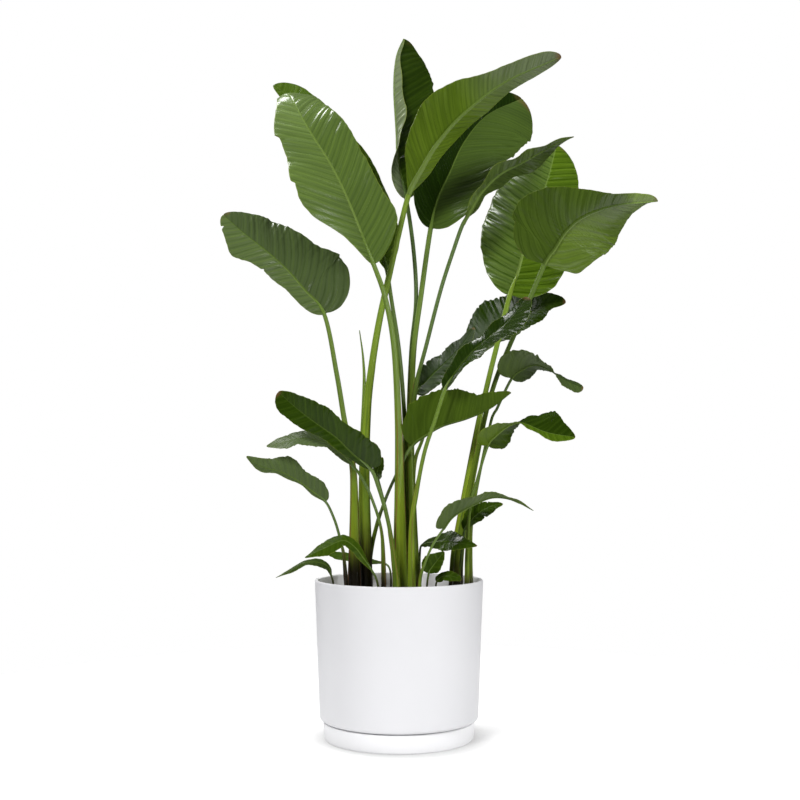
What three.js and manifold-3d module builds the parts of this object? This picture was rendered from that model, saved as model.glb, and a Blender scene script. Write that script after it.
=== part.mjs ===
// Giant white bird of paradise in a white pot on a saucer.
// Millimetres, +Z up, +X to the right, +Y away from the front.
// The origin is the middle of the saucer's flat underside.
import * as THREE from 'three';
import { mergeVertices } from 'three/addons/utils/BufferGeometryUtils.js';
import Module from 'manifold-3d';

const wasm = await Module();
wasm.setup();

// Driving dimensions of the pot, its saucer and the soil
const POT_HEIGHT = 314;
const POT_RIM_RADIUS = 169;
const POT_FOOT_RADIUS = 158;
const POT_WALL = 7;
const POT_FLOOR = 12;
const POT_STEP_HEIGHT = 38;
const STEP_BEND = 7;
const FOOT_BEND = 5;
const DRAIN_RADIUS = 14;
const SAUCER_RADIUS = 151;
const SAUCER_HEIGHT = 36;
const SAUCER_WALL = 5;
const SAUCER_FLOOR = 4;
const SAUCER_BEND = 4;
const SAUCER_PLAY = 1.5;
const SOIL_TOP = 272;
const SOIL_CROWN = 6;
const SOIL_CROWN_SHARE = 0.6;
const CLEARANCE = 0.35;

// A blade's sheet and outline. Shares are of the leaf's length, growths of
// the rib's radius and sweeps of the half's width.
const BLADE_THICKNESS = 1.4;
const BASE_ROUNDING = 0.13;
const BLUNT_END = 0.004;
const STEM_GROWTH = 1.1;
const RIB_TAPER = 0.8;
const RIB_DEPTH = 1.5;
const LOBE_SHARE = 0.35;
const LOBE_START = 1.6;
const LOBE_EASE = 30;
const MARGIN_SWEEP = 0.15;
const WAVE_SHIFT = 0.37;

// A stalk's clasping sheath, as a share of its length, and how it thins
const SHEATH_SHARE = 0.62;
const SHEATH_EASE = 1.4;

// Fineness of the curves and round walls, and how finely each size of leaf
// is divided
const SPLINE_STEPS = 400;
const TANGENT_STEP = 0.001;
const LEAST_CURL = 0.001;
const MERGE_DISTANCE = 0.001;
const ROUND_SEGMENTS = 36;
const STATIONS = {
  big: {
    lengthwise: [0, 0.03, 0.09, 0.18, 0.28, 0.38, 0.48, 0.58, 0.68, 0.78, 0.88, 0.96, 1],
    across: [-1, -0.6, -0.12, 0, 0.12, 0.6, 1],
    stalkRings: 12,
    stalkSides: 7,
  },
  mid: {
    lengthwise: [0, 0.04, 0.13, 0.27, 0.42, 0.57, 0.72, 0.87, 0.96, 1],
    across: [-1, -0.6, -0.14, 0, 0.14, 0.6, 1],
    stalkRings: 9,
    stalkSides: 6,
  },
  small: {
    lengthwise: [0, 0.06, 0.2, 0.4, 0.6, 0.8, 0.94, 1],
    across: [-1, -0.5, 0, 0.5, 1],
    stalkRings: 5,
    stalkSides: 6,
  },
};

// Every leaf: the middle line of its stalk and of its rib, the direction that
// its upper side faces, and for each half (left, right of the rib, seen from
// above with the tip up) its width, its fold from the rib and its curl, in
// degrees. All lists are spread evenly from the base to the tip.
const LEAVES = [
  // Middle fan, front to back
  {
    name: 'front_left', size: 'big', radii: [17, 10, 4.6],
    stalk: [
      [2, -62, 232], [1, -62, 515], [-2, -62, 650], [-10, -70, 780], [-27, -80, 872],
      [-50, -86, 938],
    ],
    rib: [
      [-50, -86, 938], [-72, -97, 992], [-92, -106, 1042], [-115, -110, 1094], [-140, -107, 1142],
      [-168, -96, 1188], [-194, -76, 1236], [-218, -40, 1287], [-233, 15, 1312], [-240, 60, 1300],
    ],
    face: [[0.35, -1, 0.1], [0.2, -1, 0.3], [0, -0.2, 1]],
    half: [[20, 40, 94, 90, 68, 57, 34, 22, 14], [38, 78, 68, 68, 74, 66, 60, 50, 36]],
    fold: [[30, 10, -20], [30, 10, 0]],
    curl: [[-10, -15, -20], [0, -10, -20]],
    lobe: 4, tip: 0.2, wave: [5, 3, 0.1],
  },
  {
    name: 'rear_left', size: 'big', radii: [11, 4.6, 4],
    stalk: [
      [20, -30, 232], [15, -30, 515], [10, -35, 655], [0, -30, 775], [-15, -20, 875],
      [-25, -10, 940],
    ],
    rib: [
      [-25, -10, 940], [-40, 5, 1005], [-66, 20, 1085], [-104, 40, 1177], [-166, 62, 1266],
      [-216, 78, 1310], [-268, 95, 1357],
    ],
    face: [[0.4, -1, 0.2], [0.3, -1, 0.3], [0.2, -0.8, 0.6]],
    half: [[25, 46, 55, 48, 34, 22, 14], [25, 44, 48, 42, 40, 48, 52]],
    fold: [[30, 10, 0], [30, 5, 0]],
    curl: [[0, -10, -10], [0, -5, -10]],
    lobe: 6, tip: 0.1, wave: [4, 3, 0.4],
  },
  {
    name: 'top_broad', size: 'big', radii: [12, 6, 5.2],
    stalk: [
      [35, -20, 232], [25, -20, 515], [25, -20, 635], [30, -10, 775], [45, 5, 890],
      [65, 20, 1030],
    ],
    rib: [
      [65, 20, 1030], [80, 40, 1095], [105, 60, 1155], [138, 90, 1230], [190, 120, 1298],
      [268, 150, 1344],
    ],
    face: [[-0.3, -1, 0], [-0.2, -1, 0.3], [0, -0.6, 1]],
    half: [[50, 84, 84, 60, 40], [62, 90, 94, 104, 112, 112, 112, 100, 84]],
    fold: [[60, 55, 30], [10, 0, -20]],
    curl: [[0, 0, 0], [0, 0, -35]],
    lobe: 8, tip: 0.2, wave: [4, 3, 0.7],
  },
  {
    name: 'top_upright', size: 'big', radii: [11, 4.8, 4.2],
    stalk: [
      [25, -10, 232], [20, -10, 515], [20, -5, 635], [25, 0, 775], [35, 10, 880], [30, 20, 985],
      [15, 30, 1095],
    ],
    rib: [
      [15, 30, 1095], [0, 35, 1165], [-5, 35, 1250], [-10, 35, 1335], [-5, 30, 1395],
      [10, 20, 1430],
    ],
    face: [[0.3, -1, 0], [0.8, -0.7, 0], [0.9, -0.5, 0.2]],
    half: [[26, 34, 34, 22, 25, 22, 15, 11, 8], [30, 62, 88, 92, 60]],
    fold: [[20, 35, 80, 95, 100], [20, 25, 25]],
    curl: [[0, 30, 40], [0, 0, 0]],
    lobe: 6, tip: 0.24, wave: [3, 4, 0.2],
  },
  {
    name: 'top_curled', size: 'big', radii: [11, 4.8, 4.2],
    stalk: [
      [35, -50, 232], [25, -45, 515], [25, -40, 615], [35, -40, 705],
      [55, -30, 785], [85, -12, 900], [112, -6, 984], [130, -6, 1034],
    ],
    rib: [
      [130, -6, 1034], [146, -14, 1060], [169, -20, 1098], [206, -20, 1134],
      [254, -20, 1160], [294, -27, 1181], [320, -35, 1194], [353, -45, 1205],
    ],
    face: [[-0.5, 0.3, 0.9], [-0.3, 0.2, 1], [-0.2, 0, 1]],
    half: [[6, 20, 30, 36, 38, 38, 36, 8, 5], [4, 10, 15, 22, 24, 21, 17, 10, 6]],
    fold: [[10, -15, -20], [25, 25, 20]],
    curl: [[0, 0, 0], [10, 10, 10]],
    lobe: 0, tip: 0.2, wave: [4, 4, 0.2],
  },
  {
    name: 'centre_fore', size: 'mid', radii: [10, 4.4, 3.8],
    stalk: [
      [25, -90, 232], [25, -92, 415], [35, -98, 495], [50, -104, 570], [70, -106, 630],
      [90, -106, 690],
    ],
    rib: [
      [90, -106, 690], [115, -108, 730], [145, -108, 765], [180, -110, 795], [215, -110, 825],
      [250, -105, 870],
    ],
    face: [[-0.5, -0.5, 0.8], [-0.5, -0.5, 0.8], [-0.6, -0.6, 0.6]],
    half: [[18, 23, 20, 20, 16], [14, 32, 50, 60, 40]],
    fold: [[30, 25, 10], [10, 5, 5]],
    curl: [[0, 0, 0], [0, 0, 0]],
    lobe: 6, tip: 0.28, wave: [4, 3, 0.3],
  },
  {
    name: 'inner_dark', size: 'mid', radii: [8, 3.8, 3.2],
    stalk: [[20, 60, 232], [20, 60, 535], [25, 50, 635], [35, 45, 690]],
    rib: [
      [35, 45, 690], [60, 40, 720], [85, 40, 745], [112, 40, 770], [135, 40, 797],
      [156, 45, 828],
    ],
    face: [[-0.5, -0.8, 0.5], [-0.5, -0.7, 0.6], [-0.4, -0.6, 0.8]],
    half: [[20, 36, 34, 26, 14], [24, 40, 36, 28, 14]],
    fold: [[10, 0, 0], [10, 0, 0]],
    curl: [[0, 0, 0], [0, 0, 0]],
    lobe: 10, tip: 0.35, wave: [3, 3, 0.3],
  },
  {
    name: 'centre_rear', size: 'mid', radii: [8, 3.8, 3.2],
    stalk: [
      [35, 85, 232], [30, 80, 510], [50, 80, 600], [85, 80, 690], [120, 80, 745],
      [150, 85, 775],
    ],
    rib: [
      [150, 85, 775], [180, 85, 800], [220, 85, 830], [265, 85, 855], [305, 80, 880],
      [350, 70, 885],
    ],
    face: [[-0.3, -0.8, 0.6], [-0.3, -0.8, 0.7], [-0.3, -0.8, 0.8]],
    half: [[30, 62, 90, 98, 96, 76, 56, 40, 26], [16, 26, 34, 42, 46, 44, 40, 32, 20]],
    fold: [[0, 0, 0], [10, 10, 10]],
    curl: [[0, 0, 0], [0, 0, 0]],
    lobe: 6, tip: 0.3, wave: [4, 3, 0.3],
  },
  {
    name: 'low_left', size: 'mid', radii: [9.5, 4.4, 3.8],
    stalk: [
      [0, -95, 232], [-5, -95, 320], [-15, -95, 400], [-25, -95, 450], [-40, -90, 500],
      [-55, -90, 535],
    ],
    rib: [
      [-55, -90, 535], [-90, -95, 565], [-120, -100, 595], [-155, -100, 620], [-195, -105, 650],
      [-235, -100, 685],
    ],
    face: [[-0.3, -0.8, -0.8], [-0.3, -0.9, -0.4], [-0.3, -1, -0.3]],
    half: [[10, 12, 15, 18, 20, 24, 27, 30, 26], [60, 68, 60, 42, 50, 44, 34, 25, 14]],
    fold: [[20, 20, 20], [10, 10, 10]],
    curl: [[0, 0, 0], [0, 0, 0]],
    lobe: 12, tip: 0.2, wave: [3, 3, 0.3],
  },
  {
    name: 'low_left_thin', size: 'mid', radii: [7, 3.2, 2.8],
    stalk: [
      [-30, -50, 232], [-30, -55, 335], [-35, -55, 415], [-55, -55, 480], [-75, -55, 520],
      [-95, -50, 545],
    ],
    rib: [
      [-95, -50, 545], [-125, -55, 575], [-155, -60, 590], [-195, -65, 595], [-230, -70, 587],
      [-260, -75, 580],
    ],
    face: [[-0.2, -0.5, 1], [-0.1, -0.5, 1], [-0.1, -0.6, 1]],
    half: [[12, 22, 28, 28, 20], [14, 24, 28, 24, 14]],
    fold: [[10, 0, 0], [10, 10, 0]],
    curl: [[0, 0, 0], [0, 0, 0]],
    lobe: 2, tip: 0.35, wave: [2, 3, 0.3],
  },
  {
    name: 'right_seedling', size: 'small', radii: [4.5, 2.4, 2.2],
    stalk: [[42, 8, 232], [42, 8, 312], [42, 6, 360], [46, 0, 382]],
    rib: [
      [46, 0, 382], [66, -26, 389], [86, -50, 392], [108, -68, 391], [130, -80, 389],
      [152, -88, 386],
    ],
    face: [[0, -0.6, 0.9], [0, -0.7, 0.8], [0, -0.7, 0.8]],
    half: [[10, 26, 28, 20, 8], [10, 20, 26, 22, 8]],
    fold: [[10, 10, 0], [0, 0, 0]],
    curl: [[0, 0, 0], [0, 0, 0]],
    lobe: 2, tip: 0.45, wave: [1.5, 2, 0.3],
  },
  {
    name: 'tiny_left', size: 'small', radii: [3.5, 2, 1.8],
    stalk: [[-2, -60, 232], [-12, -62, 376], [-22, -66, 444], [-32, -72, 484], [-40, -76, 514]],
    rib: [[-40, -76, 514], [-42, -78, 526], [-40, -80, 538], [-36, -82, 546], [-32, -84, 558]],
    face: [[-0.6, -0.8, 0.2], [-0.6, -0.8, 0.2], [-0.6, -0.8, 0.2]],
    half: [[6, 12, 12, 10, 5], [6, 12, 12, 10, 5]],
    fold: [[0, 0, 0], [0, 0, 0]],
    curl: [[0, 0, 0], [0, 0, 0]],
    lobe: 2, tip: 0.35, wave: [2, 2, 0.3],
  },
  // Left fan
  {
    name: 'top_arching', size: 'big', radii: [14, 10, 5.2],
    stalk: [
      [-65, 10, 232], [-70, 10, 515], [-65, 5, 655], [-55, 0, 745],
      [-40, -10, 835], [-20, -25, 925], [0, -40, 1010], [20, -60, 1084],
    ],
    rib: [
      [20, -60, 1084], [44, -85, 1126], [75, -110, 1172], [125, -140, 1223], [205, -165, 1278],
      [310, -180, 1322],
    ],
    face: [[0.5, 0.8, -0.1], [0.25, 0.9, 0.6], [-0.1, 0.6, 0.9]],
    half: [[10, 26, 36, 44, 44, 38, 30, 22, 14], [8, 50, 68, 72, 60, 38, 30, 26, 18]],
    fold: [[75, 62, 30, 15], [10, 10, 5]],
    curl: [[0, 0, 0], [0, -10, 0]],
    lobe: 0, tip: 0.08, wave: [4, 3, 0.2],
  },
  {
    name: 'left_spread', size: 'big', radii: [16, 7.5, 4.2],
    stalk: [
      [-90, -10, 232], [-90, -15, 475], [-95, -20, 555], [-110, -25, 635], [-125, -30, 725],
      [-150, -40, 845],
    ],
    rib: [
      [-150, -40, 845], [-190, -45, 895], [-225, -50, 935], [-265, -60, 970], [-310, -65, 1005],
      [-350, -70, 1040],
    ],
    face: [[0.1, -1, 0.4], [0.2, -0.9, 0.6], [0.1, -0.8, 0.9]],
    half: [[24, 27, 30, 33, 36, 43, 50, 34, 24], [60, 96, 108, 88, 88, 86, 76, 60, 44]],
    fold: [[0, -10, -10], [10, 0, 0]],
    curl: [[-30, -30, -20], [0, 0, -20]],
    lobe: 6, tip: 0.14, wave: [4, 3, 0.5],
  },
  {
    name: 'low_centre', size: 'mid', radii: [8, 3.8, 3],
    stalk: [
      [-70, 50, 232], [-60, 40, 350], [-45, 5, 420], [-25, -30, 480], [0, -47, 535],
      [25, -63, 580],
    ],
    rib: [
      [25, -63, 580], [50, -66, 600], [85, -68, 620], [135, -72, 635], [180, -78, 655],
      [220, -80, 685],
    ],
    face: [[-0.2, 0.1, 1], [-0.2, 0.1, 1], [-0.2, 0.1, 1]],
    half: [[40, 66, 56, 34, 18], [48, 70, 60, 34, 16]],
    fold: [[85, 65, 50], [75, 75, 65]],
    curl: [[0, 0, 0], [0, 0, 0]],
    lobe: 0, tip: 0.25, wave: [2.5, 3, 0.3],
  },
  {
    name: 'left_sucker', size: 'mid', radii: [6.5, 3.2, 2.6],
    stalk: [
      [-95, -40, 232], [-105, -40, 310], [-110, -40, 365], [-120, -45, 410], [-130, -45, 440],
      [-145, -50, 470],
    ],
    rib: [
      [-145, -50, 470], [-170, -55, 490], [-205, -60, 515], [-235, -65, 530], [-270, -70, 540],
      [-300, -70, 560],
    ],
    face: [[0.4, -0.7, 0.8], [0.3, -0.8, 0.8], [0.2, -0.8, 0.8]],
    half: [[6, 5, 6, 10, 9], [26, 30, 28, 30, 37, 31, 24, 18, 12]],
    fold: [[-10, -15, -20], [20, 20, 0]],
    curl: [[-10, -20, 0], [0, 0, 0]],
    lobe: 3, tip: 0.35, wave: [3, 3, 0.3],
  },
  {
    name: 'front_sucker', size: 'small', radii: [5, 2.6, 2.2],
    stalk: [[-32, -108, 232], [-40, -108, 310], [-52, -108, 340]],
    rib: [
      [-52, -108, 340], [-70, -110, 366], [-86, -112, 386], [-108, -116, 398],
      [-142, -120, 384], [-180, -124, 366],
    ],
    face: [[0.5, -0.5, 0.8], [0.2, -0.6, 0.8], [-0.2, -0.6, 0.8]],
    half: [[6, 10, 14, 16, 8], [6, 12, 18, 16, 8]],
    fold: [[-20, -20, -20], [-10, 0, -10]],
    curl: [[0, 0, 0], [0, 0, 0]],
    lobe: 2, tip: 0.4, wave: [2, 2, 0.3],
  },
  {
    name: 'left_seedling', size: 'small', radii: [4.5, 2.4, 2],
    stalk: [[-124, -30, 232], [-130, -30, 302], [-134, -32, 322]],
    rib: [
      [-134, -32, 322], [-140, -32, 340], [-158, -38, 350], [-186, -46, 350], [-212, -54, 336],
      [-242, -60, 322],
    ],
    face: [[0.8, -0.5, 0.4], [0.2, -0.6, 0.8], [-0.3, -0.6, 0.8]],
    half: [[5, 9, 7, 5, 3], [5, 9, 7, 5, 3]],
    fold: [[-20, -20, -20], [-10, 0, -10]],
    curl: [[0, 0, 0], [0, 0, 0]],
    lobe: 2, tip: 0.4, wave: [1.5, 2, 0.3],
  },
  {
    name: 'rear_seedling', size: 'small', radii: [4.5, 2.2, 2],
    stalk: [[-14, 34, 232], [-16, 38, 288], [-22, 46, 336]],
    rib: [[-22, 46, 336], [-60, 84, 342], [-102, 100, 350], [-132, 104, 354], [-164, 106, 362]],
    face: [[0, -0.4, 1], [0, -0.4, 1], [0, -0.4, 1]],
    half: [[3, 8, 16, 16, 8], [3, 8, 16, 16, 8]],
    fold: [[0, 0, 0], [0, 0, 0]],
    curl: [[0, 0, 0], [0, 0, 0]],
    lobe: 2, tip: 0.3, wave: [1.5, 2, 0.3],
  },
  // Right fan
  {
    name: 'right_broad', size: 'big', radii: [13, 6, 5.2],
    stalk: [
      [112, 30, 232], [115, 30, 350], [130, 30, 450], [160, 30, 615],
      [180, 35, 700], [200, 40, 780], [230, 40, 895],
    ],
    rib: [
      [230, 40, 895], [250, 60, 950], [270, 85, 1020], [295, 120, 1090], [325, 155, 1168],
      [350, 195, 1254],
    ],
    face: [[-0.2, -1, 0.3], [-0.1, -1, 0.4], [0.1, -1, 0.7]],
    half: [[38, 94, 106, 92, 60], [62, 100, 104, 72, 56]],
    fold: [[-5, 0, -10], [-5, 0, -10]],
    curl: [[-10, -20, -20], [-10, -20, -25]],
    lobe: 6, tip: 0.22, wave: [4, 3, 0.3],
  },
  {
    name: 'right_fore', size: 'big', radii: [12, 4.8, 4.6],
    stalk: [
      [117, 0, 232], [120, 0, 350], [135, -5, 450], [170, -15, 625],
      [190, -25, 700], [210, -40, 755], [250, -70, 850], [285, -100, 935],
    ],
    rib: [
      [285, -100, 935], [305, -110, 965], [322, -122, 992], [345, -137, 1014],
      [378, -154, 1029], [424, -174, 1038], [487, -198, 1039],
    ],
    face: [[0.3, 1, 0.3], [0.2, 0.8, 0.6], [0, 0.3, 1]],
    half: [[36, 72, 92, 97, 93, 78, 56, 34, 18], [84, 100, 108, 82, 50, 32, 22, 17, 14]],
    fold: [[10, 10, 20], [0, 5, 20]],
    curl: [[10, 20, 30], [0, 15, 30]],
    lobe: 8, tip: 0.08, wave: [3, 3, 0.3],
  },
  {
    name: 'right_twisted', size: 'mid', radii: [7, 3.2, 2.8],
    stalk: [
      [145, -20, 232], [142, -22, 354], [148, -24, 454], [182, -34, 622], [196, -38, 656],
      [224, -46, 714],
    ],
    rib: [
      [224, -46, 714], [244, -50, 732], [270, -56, 742], [298, -62, 732], [328, -66, 710],
      [364, -68, 694],
    ],
    face: [[-0.3, 0.8, 0.5], [0.1, 0.1, 1], [0.3, -0.9, 0.5]],
    half: [[24, 34, 18, 18, 12], [66, 68, 30, 32, 26]],
    fold: [[0, 0, 0], [0, 0, 0]],
    curl: [[0, 0, 0], [-20, 0, 0]],
    lobe: 8, tip: 0.3, wave: [2, 3, 0.3],
  },
  {
    name: 'right_low', size: 'mid', radii: [7, 3.2, 2.8],
    stalk: [[135, -50, 232], [135, -50, 355], [140, -55, 455], [155, -55, 515], [175, -60, 580]],
    rib: [
      [175, -60, 580], [190, -65, 600], [215, -70, 620], [242, -75, 626], [290, -80, 607],
      [344, -90, 597],
    ],
    face: [
      [-0.3, 0.7, 0.6], [-0.2, 0.4, 0.9], [0, -0.5, 0.9], [0.1, -0.8, 0.5], [0.1, -0.9, 0.4],
    ],
    half: [[32, 40, 44, 34, 40, 66, 46, 30, 14], [50, 46, 36, 18, 10, 14, 16, 16, 12]],
    fold: [[0, 0, 0], [0, 0, 0]],
    curl: [[-20, 0, 0], [-20, 0, 0]],
    lobe: 8, tip: 0.25, wave: [3, 4, 0.3],
  },
  {
    name: 'right_sucker', size: 'mid', radii: [5.5, 2.8, 2.4],
    stalk: [[40, -110, 232], [40, -110, 315], [50, -115, 355], [65, -115, 390], [85, -120, 420]],
    rib: [
      [85, -120, 420], [105, -120, 445], [140, -120, 465], [180, -115, 480], [220, -110, 475],
      [260, -105, 455],
    ],
    face: [[-0.5, 0.2, 0.8], [-0.1, 0.2, 1], [0.3, 0.2, 1]],
    half: [[58, 64, 36, 12, 6], [44, 42, 24, 10, 5]],
    fold: [[10, 10, 10], [20, 20, 15]],
    curl: [[0, 0, 0], [0, 0, 0]],
    lobe: 14, tip: 0.4, wave: [2, 3, 0.3],
  },
  {
    name: 'torn_strip', size: 'small', radii: [4, 2.2, 2],
    stalk: [[118, -34, 232], [120, -34, 314], [124, -36, 370], [130, -40, 414]],
    rib: [
      [130, -40, 414], [142, -42, 432], [158, -44, 448], [174, -46, 458], [190, -48, 464],
      [206, -48, 466],
    ],
    face: [[-0.3, -0.9, 0.5], [-0.3, -0.9, 0.5], [-0.3, -0.9, 0.5]],
    half: [[8, 20, 18, 10, 6], [6, 14, 20, 16, 8]],
    fold: [[10, 10, 10], [10, 10, 10]],
    curl: [[0, 0, 0], [0, 0, 0]],
    lobe: 2, tip: 0.4, wave: [2, 3, 0.3],
  },
  {
    name: 'small_right', size: 'small', radii: [4, 2.2, 2],
    stalk: [[52, -80, 232], [54, -80, 300], [58, -80, 332]],
    rib: [[58, -80, 332], [64, -80, 344], [72, -80, 354], [80, -78, 364], [88, -76, 374]],
    face: [[0.2, -1, 0.2], [0.2, -1, 0.2], [0.2, -1, 0.2]],
    half: [[12, 24, 20, 12, 6], [8, 16, 14, 10, 6]],
    fold: [[10, 10, 10], [10, 10, 10]],
    curl: [[0, 0, 0], [0, 0, 0]],
    lobe: 3, tip: 0.4, wave: [2, 2, 0.3],
  },
  {
    name: 'tiny_right', size: 'small', radii: [3.5, 2, 1.8],
    stalk: [[72, -60, 232], [72, -60, 294], [74, -62, 314]],
    rib: [[74, -62, 314], [84, -64, 324], [98, -68, 326], [110, -70, 324], [122, -72, 318]],
    face: [[0, -0.7, 0.8], [0, -0.7, 0.8], [0, -0.7, 0.8]],
    half: [[6, 12, 12, 12, 6], [6, 12, 12, 12, 6]],
    fold: [[0, 0, 0], [0, 0, 0]],
    curl: [[0, 0, 0], [0, 0, 0]],
    lobe: 2, tip: 0.35, wave: [2, 2, 0.3],
  },
];

// The rolled new leaf, a tapering spear among the left fan
const SPEAR = {
  path: [[-75, 30, 232], [-76, 34, 520], [-72, 38, 690], [-74, 40, 760], [-82, 42, 822]],
  radii: [9, 8, 6.5, 4.5, 1],
  rings: 14,
  sides: 8,
};

const WHITE = new THREE.Color(0.86, 0.86, 0.88);
const SOIL_BROWN = new THREE.Color(0.06, 0.04, 0.03);
const BLADE_GREEN = new THREE.Color(0.05, 0.16, 0.02);
const STALK_GREEN = new THREE.Color(0.2, 0.3, 0.08);
const GLOSSY_PLASTIC = 0.45;
const WAXY_BLADE = 0.4;
const FIBROUS_STALK = 0.5;
const RAW_SOIL = 0.95;

function clamp(value, low, high) {
  return Math.min(Math.max(value, low), high);
}

// A smooth curve through evenly spaced numbers, read at t from 0 to 1
function along(values, t) {
  const last = values.length - 1;
  const place = clamp(t, 0, 1) * last;
  const index = Math.min(Math.floor(place), last - 1);
  const w = place - index;
  const p1 = values[index];
  const p2 = values[index + 1];
  const p0 = index > 0 ? values[index - 1] : 2 * p1 - p2;
  const p3 = index + 2 <= last ? values[index + 2] : 2 * p2 - p1;
  const a = 0.5 * (p2 - p0);
  const b = 0.5 * (p3 - p1);
  return (2 * p1 - 2 * p2 + a + b) * w ** 3 + (3 * p2 - 3 * p1 - 2 * a - b) * w ** 2 + a * w + p1;
}

function alongPoints(points, t) {
  return new THREE.Vector3(...[0, 1, 2].map((axis) => along(points.map((p) => p[axis]), t)));
}

// The stretch of a curve between two of its points, read by share of length
function makeLine(points, first = 0, last = points.length - 1) {
  const from = first / (points.length - 1);
  const reach = (last - first) / (points.length - 1);
  const lengths = [0];
  let previous = alongPoints(points, from);
  for (let step = 1; step <= SPLINE_STEPS; step += 1) {
    const next = alongPoints(points, from + (reach * step) / SPLINE_STEPS);
    lengths.push(lengths[step - 1] + next.distanceTo(previous));
    previous = next;
  }
  const total = lengths[SPLINE_STEPS];
  const parameter = (share) => {
    const target = clamp(share, 0, 1) * total;
    const step = clamp(lengths.findIndex((value) => value >= target), 1, SPLINE_STEPS);
    const within = (target - lengths[step - 1]) / (lengths[step] - lengths[step - 1]);
    return from + (reach * (step - 1 + within)) / SPLINE_STEPS;
  };
  const point = (share) => alongPoints(points, parameter(share));
  const direction = (share) => {
    const centre = parameter(share);
    const ahead = alongPoints(points, centre + TANGENT_STEP);
    return ahead.sub(alongPoints(points, centre - TANGENT_STEP)).normalize();
  };
  return { total, point, direction };
}

// A rounded end: 0 at the end itself, 1 once the share is past its length
function roundEnd(share) {
  return Math.sqrt(1 - (1 - clamp(share, 0, 1)) ** 2);
}

function bodyOf(vertices, triangles) {
  const mesh = new wasm.Mesh({
    numProp: 3,
    vertProperties: new Float32Array(vertices.flat()),
    triVerts: new Uint32Array(triangles.flat()),
  });
  return new wasm.Manifold(mesh);
}

// A tube with flat ends, its radius read along the curve, and grown all round
function tube(line, radiusAt, rings, sides, grow) {
  const vertices = [];
  const triangles = [];
  for (let ring = 0; ring <= rings; ring += 1) {
    const share = ring / rings;
    const direction = line.direction(share);
    const centre = line.point(share);
    if (ring === 0) centre.addScaledVector(direction, -grow);
    if (ring === rings) centre.addScaledVector(direction, grow);
    const right = new THREE.Vector3(1, 0, 0);
    right.addScaledVector(direction, -right.dot(direction)).normalize();
    const front = new THREE.Vector3().crossVectors(direction, right);
    const radius = radiusAt(share) + grow;
    for (let side = 0; side < sides; side += 1) {
      const angle = (2 * Math.PI * (side + 0.5)) / sides;
      const point = centre.clone().addScaledVector(right, radius * Math.cos(angle));
      point.addScaledVector(front, radius * Math.sin(angle));
      vertices.push(point.toArray());
    }
  }
  for (let ring = 0; ring < rings; ring += 1) {
    for (let side = 0; side < sides; side += 1) {
      const a = ring * sides + side;
      const b = ring * sides + ((side + 1) % sides);
      triangles.push([a, b, a + sides], [b, b + sides, a + sides]);
    }
  }
  for (let side = 1; side < sides - 1; side += 1) {
    triangles.push([0, side + 1, side]);
    triangles.push([rings * sides, rings * sides + side, rings * sides + side + 1]);
  }
  return bodyOf(vertices, triangles);
}

// Sheath radius at the foot, easing to the petiole's and to the rib's
function stalkRadius([foot, petiole, rib]) {
  return (share) => {
    const sheath = (1 - clamp(share / SHEATH_SHARE, 0, 1)) ** SHEATH_EASE;
    return rib + (petiole - rib) * (1 - share) + (foot - petiole) * sheath;
  };
}

// How far a half runs outward and upward from the rib at a share of its width
function halfProfile(leaf, side, t, reach, width) {
  const fold = THREE.MathUtils.degToRad(along(leaf.fold[side], t));
  const curlAngle = THREE.MathUtils.degToRad(along(leaf.curl[side], t));
  const curl = Math.abs(curlAngle) < LEAST_CURL ? LEAST_CURL : curlAngle;
  const [height, count, phase] = leaf.wave;
  const turn = 2 * Math.PI * (count * t + phase + side * WAVE_SHIFT);
  const swell = Math.sqrt(Math.max(Math.sin(Math.PI * t), 0));
  return {
    outward: (width * (Math.sin(fold + curl * reach) - Math.sin(fold))) / curl,
    lift: (width * (Math.cos(fold) - Math.cos(fold + curl * reach))) / curl
      + height * reach ** 2 * swell * Math.sin(turn),
  };
}

// One point of a leaf's middle sheet, t along the rib and u across from it,
// with the direction that the rib faces there
function bladePoint(leaf, line, t, u) {
  const side = u < 0 ? 0 : 1;
  const reach = Math.abs(u);
  const direction = line.direction(t);
  const facing = alongPoints(leaf.face, t);
  const up = facing.addScaledVector(direction, -facing.dot(direction)).normalize();
  const right = new THREE.Vector3().crossVectors(direction, up);
  const ends = roundEnd((t + BLUNT_END) / BASE_ROUNDING) * roundEnd((1 + BLUNT_END - t) / leaf.tip);
  const stem = leaf.radii[2] * STEM_GROWTH;
  const width = Math.max(along(leaf.half[side], t) * ends, stem * (1 - RIB_TAPER * t));
  const { outward, lift } = halfProfile(leaf, side, t, reach, width);
  const nearBase = clamp(1 - t / LOBE_SHARE, 0, 1) ** 2;
  const lobe = leaf.lobe * nearBase * clamp((width * reach - LOBE_START * stem) / LOBE_EASE, 0, 1);
  const sweep = MARGIN_SWEEP * width * reach ** 1.5 * clamp(t / LOBE_SHARE, 0, 1);
  const point = line.point(t).addScaledVector(right, Math.sign(u) * outward);
  point.addScaledVector(up, lift).addScaledVector(direction, sweep - lobe);
  return { point, up };
}

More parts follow.
